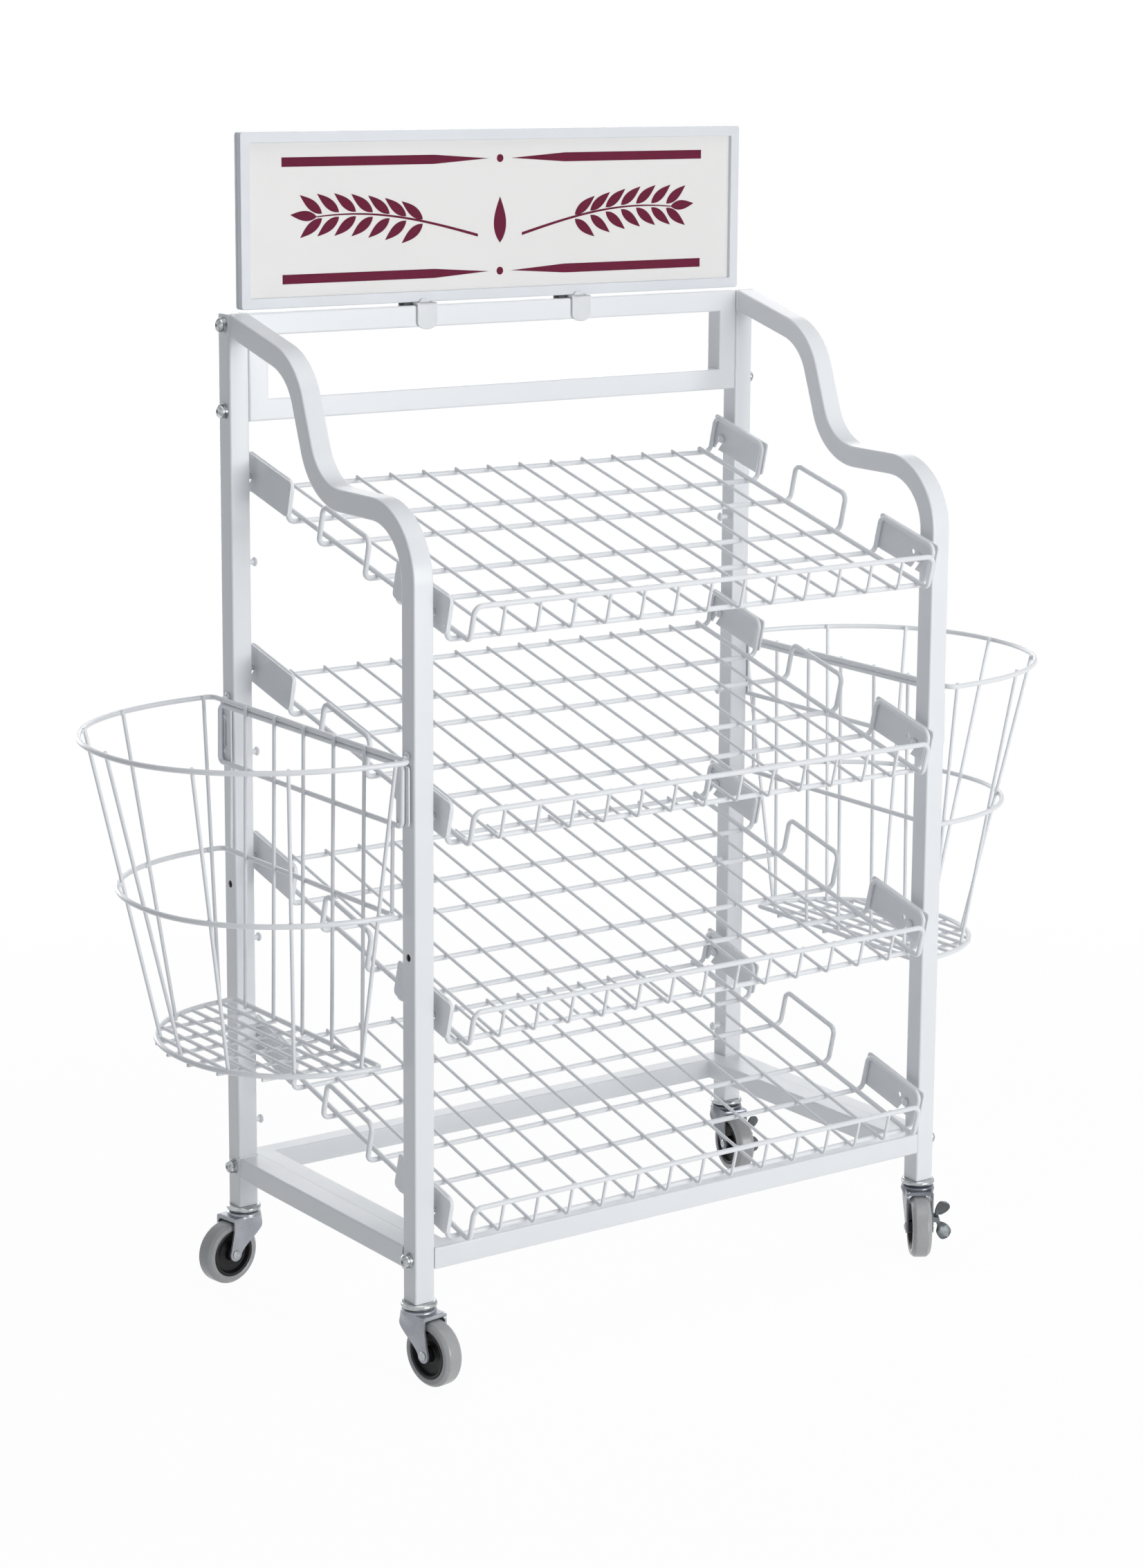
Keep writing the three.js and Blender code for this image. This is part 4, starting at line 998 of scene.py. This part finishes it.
def sign_print():
    """Tapered bars with dots at the top and bottom, and ears of wheat between them."""
    low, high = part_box("sign_frame")
    board_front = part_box("sign_board")[0].y
    ink = 0.0002
    center = (low + high) / 2
    rows = (high.z - BAR_FROM_TOP - center.z, low.z + BAR_FROM_BOTTOM - center.z)
    outlines = []
    for z in rows:
        for mirror in (-1, 1):
            bar = [(BAR_START, -BAR_HALF), (BAR_START, BAR_HALF), (BAR_TAPER, BAR_HALF), (BAR_TIP, 0), (BAR_TAPER, -BAR_HALF)]
            outlines.append([(mirror * x, z + h) for x, h in bar])
        outlines.append(disc(DOT, (0, z)))
    for mirror in (-1, 1):
        outlines += [[(x, z + sum(rows) / 2) for x, z in line] for line in ear_of_wheat(mirror)]
    outlines.append(leaf(Vector((0, sum(rows) / 2 + 0.022)), Vector((0, sum(rows) / 2 - 0.034)), 0.009))
    body = Builder()
    place = placed(Vector((center.x, board_front - ink / 2, center.z)), X, Z, X.cross(Z))
    for outline in outlines:
        body.add(sheet([outline], ink, ink / 8), place)
    piece("sign_print", body.mesh("sign_print"), print_ink, "sign")


def sign_clip(side):
    node = f"sign_clip_{side}"
    low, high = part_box(node)
    center = (low + high) / 2
    half = CLIP_WIDTH / 2
    ease = 0.0009
    tab_rise = 0.005
    arch = [(half * math.cos(a), -CLIP_DROP + 0.009 - 0.009 * math.sin(a)) for a in
            (math.pi * k / 12 for k in range(13))]
    tongue = [(half, CLIP_THICKNESS), *arch, (-half, CLIP_THICKNESS)]
    body = Builder()
    web = high.z - CLIP_THICKNESS
    body.add(sheet([tongue[::-1]], CLIP_THICKNESS, ease),
             placed(Vector((center.x, low.y + CLIP_THICKNESS / 2, web)), X, Z, X.cross(Z)))
    depth = high.y - low.y
    body.add(sheet([rectangle(CLIP_WIDTH, depth, 0.002)], CLIP_THICKNESS, ease),
             placed(Vector((center.x, center.y, web + CLIP_THICKNESS / 2)), X, Y, Z))
    back = 0.012 + CLIP_THICKNESS
    body.add(sheet([rectangle(CLIP_WIDTH, back, 0.002)], CLIP_THICKNESS, ease),
             placed(Vector((center.x, high.y - CLIP_THICKNESS / 2, high.z - back / 2)), X, Z, X.cross(Z)))
    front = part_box("sign_frame")[0].y - 0.0002
    tab = [(-0.008, 0), (0.008, 0), (0.004, tab_rise), (-0.004, tab_rise)]
    body.add(sheet([rounded_outline(tab, [0, 0, 0.003, 0.003])], 0.0024, 0.0006),
             placed(Vector((center.x, front - 0.0012, high.z - 0.0006)), X, Z, X.cross(Z)))
    piece(f"{node}_hook", body.mesh(node), clip_plastic, "sign", [node])
    # A small dark block under the sign's lower edge, just left of each clip
    dark_block = Builder().add(sheet([rectangle(0.013, 0.012, 0.002)], 0.0034, 0.0008),
                        placed(Vector((low.x - 0.008, center.y, high.z - 0.0016)), X, Y, Z))
    piece(f"sign_dark_block_{side}", dark_block.mesh("dark_block"), plug_plastic, "sign")


# Casters. Each is drawn with its swivel axis on Z and the wheel trailing towards -Y.
WHEEL = 0.0381
WHEEL_HALF = 0.012
TYRE_DEPTH = 0.0095
FORK_HALF = 0.017  # middle to the outside of a leg
FORK_SHEET = 0.0025
FORK_LEAD = 0.015
FORK_TAIL = 0.028
FORK_EAR = 0.0085
FORK_WAIST = 0.016
CROWN_ROUND = 0.021
CROWN_EDGE = 0.0026
SKIRT = 0.0045
RACE_HEIGHT = 0.005
RACE_ROUND = 0.0209
PEDAL_TIPS = ((0.0123, 0.0195), (0.0143, -0.0255))  # out and up from the pivot
PEDAL_TUCK = 0.0032  # pivot in to the middle of the bend
PEDAL_WAIST = 0.0050
PEDAL_HALF = 0.0092
PEDAL_SHEET = 0.0022
PEDAL_TWIST = math.radians(68)
PEDAL_STAND_OFF = 0.0052
PEDAL_LIFT = 0.009
PEDAL_AHEAD = 0.006

joints = {joint["name"]: joint for joint in frame["joints"]}


class Caster:
    """Where one caster stands and heads, from its joints."""

    def __init__(self, corner):
        swivel = Vector(joints[f"swivel_{corner}"]["pos_m"])
        roll = joints[f"roll_{corner}"]
        across = Vector(roll["axis"])
        self.corner = corner
        self.place = placed(Vector((swivel.x, swivel.y, 0)), across, Z.cross(across), Z)
        self.axle = roll["pos_m"][2]
        self.trail = (Vector(roll["pos_m"]).xy - swivel.xy).length
        self.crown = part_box(f"caster_fork_{corner}")[1].z - RACE_HEIGHT
        self.wheel = self.place @ placed(Vector((0, -self.trail, self.axle)), Y, Z, X)


def crown_x(y):
    """Half the crown's width: straight sides that run into the round front."""
    return max(FORK_HALF, math.sqrt(max(CROWN_ROUND ** 2 - y * y, 0))) if y < 0 else math.sqrt(CROWN_ROUND ** 2 - y * y)


def smooth(t):
    t = min(max(t, 0), 1)
    return t * t * (3 - 2 * t)


def leg_point(caster, u, z):
    """A point of the right leg: u runs from its trailing edge to its leading edge."""
    fall = smooth((caster.crown - FORK_WAIST - z) / (caster.crown - FORK_WAIST - caster.axle)) if z > caster.axle else 1
    straight_fall = min(max((caster.crown - FORK_WAIST - z) / (caster.crown - FORK_WAIST - caster.axle), 0), 1)
    trailing = -FORK_TAIL + (FORK_TAIL - caster.trail - FORK_EAR) * straight_fall
    leading = FORK_LEAD + (-caster.trail + FORK_EAR - FORK_LEAD) * (0.5 * fall + 0.5 * straight_fall)
    y = trailing + (leading - trailing) * u
    flat = smooth((caster.crown - z) / (FORK_WAIST * 1.1))
    return Vector((crown_x(max(min(y, FORK_LEAD), -FORK_TAIL)) * (1 - flat) + FORK_HALF * flat, y, z))


def yoke_columns(caster):
    """Columns of points down the yoke's skin, round its crown: each starts at the top face."""
    leg_columns, rows = 16, 14
    edge_rows = [(1, 0), (1 - math.sin(math.pi / 4), 1 - math.cos(math.pi / 4)), (0, 1)]

    def column(rim_point, normal, lower):
        tops = [rim_point - normal * (CROWN_EDGE * a) - Z * (CROWN_EDGE * b) for a, b in edge_rows]
        return tops + lower

    right = []
    for i in range(leg_columns + 1):
        u = i / leg_columns
        top = leg_point(caster, u, caster.crown)
        ahead = leg_point(caster, min(u + 0.02, 1), caster.crown) - leg_point(caster, max(u - 0.02, 0), caster.crown)
        normal = Vector((ahead.y, -ahead.x, 0)).normalized()
        end = caster.axle - FORK_EAR * math.sqrt(max(1 - (2 * u - 1) ** 2, 0))
        start = caster.crown - CROWN_EDGE
        lower = [leg_point(caster, u, start + (end - start) * k / rows) for k in range(1, rows + 1)]
        right.append(column(top, normal, lower))
    turn = math.asin(FORK_LEAD / CROWN_ROUND)
    front = []
    front_columns = 8
    for i in range(1, front_columns):
        a = turn + (math.pi - 2 * turn) * i / front_columns
        normal = Vector((math.cos(a), math.sin(a), 0))
        rim_point = normal * CROWN_ROUND + Z * caster.crown
        front.append(column(rim_point, normal, [rim_point - Z * SKIRT]))
    left = [[Vector((-p.x, p.y, p.z)) for p in points] for points in reversed(right)]
    tail = []
    tail_columns = 8
    for i in range(1, tail_columns):
        x = -FORK_HALF + 2 * FORK_HALF * i / tail_columns
        rim_point = Vector((x, -FORK_TAIL, caster.crown))
        tail.append(column(rim_point, -Y, [rim_point - Z * SKIRT]))
    return right + front + left + tail


def yoke(caster):
    columns = yoke_columns(caster)
    points, faces, starts = [], [], []
    for column in columns:
        starts.append(len(points))
        points += column
    for i, column in enumerate(columns):
        n = (i + 1) % len(columns)
        for k in range(min(len(column), len(columns[n])) - 1):
            faces.append([starts[i] + k, starts[i] + k + 1, starts[n] + k + 1, starts[n] + k])
    faces.append(starts)
    skin = Builder().add((points, faces))
    sheet_mesh = thickened(skin.mesh("yoke"), FORK_SHEET, -1, 0.0004)
    body = Builder().add(shape_of(sheet_mesh), caster.place)
    race = softened([(0.004, -0.0005), (0.0204, -0.0005), (0.0200, 0.0016), (0.0168, 0.0030),
                     (0.004, 0.0030)], [0, 0, 0.0016, 0.0014, 0], 4)
    body.add(lathe(race, 56), caster.place @ Matrix.Translation(Z * caster.crown))
    if caster.corner.endswith("right"):
        pivot = pedal_pivot(caster)
        reach = PEDAL_STAND_OFF + 0.0034
        lug = sheet([rectangle(reach, 0.006, 0.002)], 0.003, 0.0005)
        for end in (-1, 1):
            origin = Vector((FORK_HALF + reach / 2 - 0.0005, pivot.y + end * 0.0089, pivot.z))
            body.add(lug, caster.place @ placed(origin, X, Z, X.cross(Z)))
    # The right casters' yokes take the darker copy of the zinc as painted shade
    metal = painted_shade_zinc if caster.corner.endswith("right") else zinc
    piece(f"caster_yoke_{caster.corner}", body.mesh("yoke"), metal, f"caster_{caster.corner}",
          [f"caster_fork_{caster.corner}"])


def caster_head(caster):
    base = caster.crown + 0.0035
    top = FOOT - base - 0.0002
    bulge = top / 2
    ring = [(0, 0), *[(RACE_ROUND - bulge * (1 - math.sin(a)), bulge * (1 - math.cos(a)))
                      for a in (math.pi * k / 12 for k in range(13))], (0, top)]
    body = Builder().add(lathe(ring, 56), caster.place @ Matrix.Translation(Z * base))
    piece(f"caster_race_{caster.corner}", body.mesh("race"), bright_zinc, "frame",
          [f"caster_head_{caster.corner}"])


def caster_axle(caster):
    """A rivet through both ears, with domed heads."""
    body = Builder()
    shank = FORK_HALF + 0.0002
    body.add(lathe([(0, -shank), (0.0035, -shank), (0.0035, shank), (0, shank)], 28), caster.wheel)
    head = [(0, 0), (0.0050, 0), (0.0050, 0.0006), (0.0042, 0.0016), (0.0024, 0.0019), (0.0019, 0.0012), (0, 0.0012)]
    domed = softened(head, [0, 0, 0.0003, 0.0006, 0.0003, 0.0003, 0])
    flush = [(0, 0), (0.0050, 0), (0.0048, 0.0005), (0, 0.0006)]
    for end in (-1, 1):
        place = caster.wheel @ facing(Vector((0, 0, end * shank)), end * Z)
        under_pedal = end > 0 and caster.corner.endswith("right")
        body.add(lathe(flush if under_pedal else domed, 32), place)
    piece(f"caster_rivet_{caster.corner}", body.mesh("rivet"), bright_zinc, f"caster_{caster.corner}",
          [f"caster_axle_{caster.corner}"])


def wheel(caster):
    inner = WHEEL - TYRE_DEPTH
    w = WHEEL_HALF
    floor_round = WHEEL * math.cos(math.pi / 40)
    tread = softened([(inner, -w + 0.0006), (inner + 0.002, -w), (WHEEL - 0.004, -w), (floor_round, -w + 0.0042),
                      (WHEEL, 0), (floor_round, w - 0.0042), (WHEEL - 0.004, w), (inner + 0.002, w), (inner, w - 0.0006)],
                     [0, 0.0008, 0.0030, 0.0040, 0.06, 0.0040, 0.0030, 0.0008, 0], 5)
    body = Builder().add(lathe(tread, 72, True), caster.wheel)
    piece(f"caster_tread_{caster.corner}", body.mesh("tread"), tyre_rubber, f"wheel_{caster.corner}",
          [f"caster_tyre_{caster.corner}"])
    rim_radius = inner - 0.0001
    boss_end = 0.0141
    side = [(0.0039, boss_end), (0.0082, boss_end), (0.0092, 0.0062), (0.0150, 0.0052),
            (rim_radius - 0.0060, 0.0060), (rim_radius - 0.0038, w - 0.0004), (rim_radius - 0.0016, w),
            (rim_radius, w - 0.0006)]
    radii = [0, 0.0008, 0.0012, 0.0020, 0.0012, 0.0010, 0.0006, 0]
    half = softened(side, radii, 4)
    profile = [(r, -h) for r, h in half] + half[::-1]
    core = Builder().add(lathe(profile, 72, True), caster.wheel)
    piece(f"caster_core_{caster.corner}", core.mesh("core"), hub_plastic, f"wheel_{caster.corner}",
          [f"caster_hub_{caster.corner}"])


def pedal_pivot(caster):
    return Vector((FORK_HALF + PEDAL_STAND_OFF, PEDAL_AHEAD - caster.trail, caster.axle + PEDAL_LIFT))


def pedal(caster):
    """Two rounded wings of bent sheet that meet at a pinched waist over the pivot."""
    pivot = pedal_pivot(caster)
    tips = [pivot + Vector((out, 0, up)) for out, up in PEDAL_TIPS]
    bend = 0.006
    waist = pivot - X * PEDAL_TUCK
    spine = rounded([tips[0], waist, tips[1]], [0, bend, 0], 10)
    line = []
    steps = 16
    for a, b in ((spine[0], spine[1]), (spine[-2], spine[-1])):
        line.append([a.lerp(b, k / steps) for k in range(steps + 1)])
    path = [*line[0], *spine[2:-2], *line[1]]
    points, faces, across_count = [], [], 8
    for i, p in enumerate(path):
        tip = tips[0] if p.z > pivot.z else tips[1]
        out = (p - waist).length / (tip - waist).length
        run = (path[min(i + 1, len(path) - 1)] - path[max(i - 1, 0)]).normalized()
        twist_start = 0.05 if p.z > pivot.z else 0.22
        broadside = Matrix.Rotation(PEDAL_TWIST * smooth((out - twist_start) / 0.37), 3, run) @ Y
        dish_way = run.cross(broadside)
        broad = PEDAL_WAIST + (PEDAL_HALF - PEDAL_WAIST) * smooth((out - 0.2) / 0.5)
        blunt = math.sqrt(max(1 - max((out - 0.80) / 0.203, 0) ** 2, 0))
        half = max(broad * blunt, 0.0006)
        for k in range(across_count + 1):
            t = 2 * k / across_count - 1
            dish = 0.0011 * (1 - t * t) * smooth((out - 0.3) / 0.4)
            points.append(p + broadside * (half * t) + dish_way * dish)
    row = across_count + 1
    for i in range(len(path) - 1):
        for k in range(across_count):
            faces.append([i * row + k, i * row + k + 1, (i + 1) * row + k + 1, (i + 1) * row + k])
    mesh = thickened(Builder().add((points, faces)).mesh("pedal"), PEDAL_SHEET, 0, 0.0005)
    body = Builder().add(shape_of(mesh), caster.place)
    pin = softened([(0, -0.0102), (0.0017, -0.0102), (0.0017, -0.0068), (0.0032, -0.0068), (0.0032, 0.0068),
                    (0.0017, 0.0068), (0.0017, 0.0102), (0, 0.0102)], 0.0003, 2)
    body.add(lathe(pin, 24), caster.place @ facing(pivot, Y))
    piece(f"brake_wings_{caster.corner}", body.mesh("pedal"), pedal_zinc_painted_shade, f"brake_{caster.corner}",
          [f"brake_pedal_{caster.corner}"])


def build():
    for side, sign in SIDES:
        rear_post(side, sign)
        front_post(side, sign)
        side_rail(side, sign)
        basket(side, sign)
        sign_clip(side)
        for spot in ("back_top", "back_low", "base_rear", "base_front"):
            bolt(f"bolt_{spot}_{side}", sign)
    welded_frames()
    for k in range(SHELF_COUNT):
        shelf(k)
    sign_frame()
    sign_print()
    dress(frame["nodes"]["sign_board"], board_white, False)
    dress(frame["nodes"]["sign_cover"], cover_clear, False)
    for corner in CORNERS:
        caster = Caster(corner)
        yoke(caster)
        caster_head(caster)
        caster_axle(caster)
        wheel(caster)
        if f"brake_{corner}" in joints:
            pedal(caster)
        dress(frame["nodes"][f"leg_insert_{corner}"], plug_plastic, False)


build()

# Camera: the view of the photograph, whose size and principal point are in its pixels
IMAGE_WIDTH, IMAGE_HEIGHT = 1652, 2266
FOCAL_PIXELS = 5117.76
PRINCIPAL_RIGHT, PRINCIPAL_DOWN = 246.9, -143.9
CAMERA_PLACE = Vector((-2.4036, -3.40472, 1.55333))
CAMERA_PAN, CAMERA_TILT, CAMERA_ROLL = 0.65624, 0.19389, 0.01581
SENSOR = 36.0


def add_camera():
    ahead = Vector((math.sin(CAMERA_PAN) * math.cos(CAMERA_TILT), math.cos(CAMERA_PAN) * math.cos(CAMERA_TILT),
                    -math.sin(CAMERA_TILT)))
    level = Vector((math.cos(CAMERA_PAN), -math.sin(CAMERA_PAN), 0))
    above = level.cross(ahead)
    right = level * math.cos(CAMERA_ROLL) + above * math.sin(CAMERA_ROLL)
    up = above * math.cos(CAMERA_ROLL) - level * math.sin(CAMERA_ROLL)
    data = bpy.data.cameras.new("camera")
    data.sensor_width = SENSOR
    data.lens = FOCAL_PIXELS * SENSOR / IMAGE_HEIGHT
    data.shift_x = -PRINCIPAL_RIGHT / IMAGE_HEIGHT
    data.shift_y = PRINCIPAL_DOWN / IMAGE_HEIGHT
    data.clip_end = 60
    camera = bpy.data.objects.new("camera", data)
    bpy.context.scene.collection.objects.link(camera)
    camera.matrix_world = placed(CAMERA_PLACE, right, up, -ahead)
    bpy.context.scene.camera = camera


def add_lamp(name, place, target, size, power, color=(1, 1, 1)):
    data = bpy.data.lights.new(name, "AREA")
    data.shape = "SQUARE"
    data.size = size
    data.energy = power
    data.color = color
    lamp = bpy.data.objects.new(name, data)
    lamp.location = place
    lamp.rotation_euler = (Vector(target) - Vector(place)).to_track_quat("-Z", "Y").to_euler()
    bpy.context.scene.collection.objects.link(lamp)


def seen(nodes, links):
    """1 for rays that look at the background, straight, mirrored or through glass."""
    path = nodes.new("ShaderNodeLightPath")
    value = path.outputs["Is Camera Ray"]
    for kind in ("Is Glossy Ray", "Is Transmission Ray"):
        either = nodes.new("ShaderNodeMath")
        either.operation = "MAXIMUM"
        links.new(value, either.inputs[0])
        links.new(path.outputs[kind], either.inputs[1])
        value = either.outputs[0]
    return value


WORLD_LIGHT = 0.245
FLOOR_GLOW = 0.965  # share of the floor that is plain white, near the rack
FLOOR_FILL = 0.18  # share of it that lights the rack from below
GLOW_NEAR, GLOW_FAR = 0.9, 2.2  # between these distances from the middle it becomes all of it


def add_world():
    world = bpy.data.worlds.new("studio")
    bpy.context.scene.world = world
    world.use_nodes = True
    nodes, links = world.node_tree.nodes, world.node_tree.links
    nodes.clear()
    out = nodes.new("ShaderNodeOutputWorld")
    mix = nodes.new("ShaderNodeMixShader")
    soft = nodes.new("ShaderNodeBackground")
    soft.inputs["Color"].default_value = (0.87, 0.92, 1.0, 1)
    soft.inputs["Strength"].default_value = WORLD_LIGHT
    white = nodes.new("ShaderNodeBackground")
    white.inputs["Color"].default_value = (1, 1, 1, 1)
    links.new(seen(nodes, links), mix.inputs["Fac"])
    links.new(soft.outputs[0], mix.inputs[1])
    links.new(white.outputs[0], mix.inputs[2])
    links.new(mix.outputs[0], out.inputs["Surface"])


def add_floor():
    half = 14.0
    mesh = bpy.data.meshes.new("floor")
    mesh.from_pydata([(-half, -half, 0), (half, -half, 0), (half, half, 0), (-half, half, 0)], [], [(0, 1, 2, 3)])
    floor = bpy.data.objects.new("floor", mesh)
    bpy.context.scene.collection.objects.link(floor)
    material, nodes, links, surface = shader("floor_white")
    surface.inputs["Base Color"].default_value = (0.90, 0.90, 0.90, 1)
    surface.inputs["Roughness"].default_value = 0.9
    surface.inputs["Specular IOR Level"].default_value = 0.0
    glow = nodes.new("ShaderNodeEmission")
    mix = nodes.new("ShaderNodeMixShader")
    where = nodes.new("ShaderNodeNewGeometry")
    distance = nodes.new("ShaderNodeVectorMath")
    distance.operation = "LENGTH"
    links.new(where.outputs["Position"], distance.inputs[0])
    fade = nodes.new("ShaderNodeMapRange")
    fade.interpolation_type = "SMOOTHSTEP"
    fade.inputs["From Min"].default_value = GLOW_NEAR
    fade.inputs["From Max"].default_value = GLOW_FAR
    fade.inputs["To Min"].default_value = FLOOR_GLOW
    fade.inputs["To Max"].default_value = 1.0
    links.new(distance.outputs["Value"], fade.inputs["Value"])
    share = nodes.new("ShaderNodeMath")
    share.operation = "MULTIPLY"
    links.new(seen(nodes, links), share.inputs[0])
    links.new(fade.outputs["Result"], share.inputs[1])
    fill = nodes.new("ShaderNodeMath")
    fill.operation = "MAXIMUM"
    fill.inputs[1].default_value = FLOOR_FILL
    links.new(share.outputs[0], fill.inputs[0])
    links.new(fill.outputs[0], mix.inputs["Fac"])
    links.new(surface.outputs[0], mix.inputs[1])
    links.new(glow.outputs[0], mix.inputs[2])
    links.new(mix.outputs[0], nodes["Material Output"].inputs["Surface"])
    mesh.materials.append(material)


TARGET = (0, 0, 0.7)
bpy.context.scene.view_settings.view_transform = "Standard"
add_camera()
add_world()
add_floor()
add_lamp("key", (1.3, -5.2, 1.0), TARGET, 2.6, 166)
add_lamp("top", (0.2, -0.7, 4.2), TARGET, 3.0, 46)
add_lamp("back", (2.6, 3.6, 2.4), TARGET, 2.4, 28)
add_lamp("rear", (-0.1, 5.0, 1.2), TARGET, 2.6, 75)
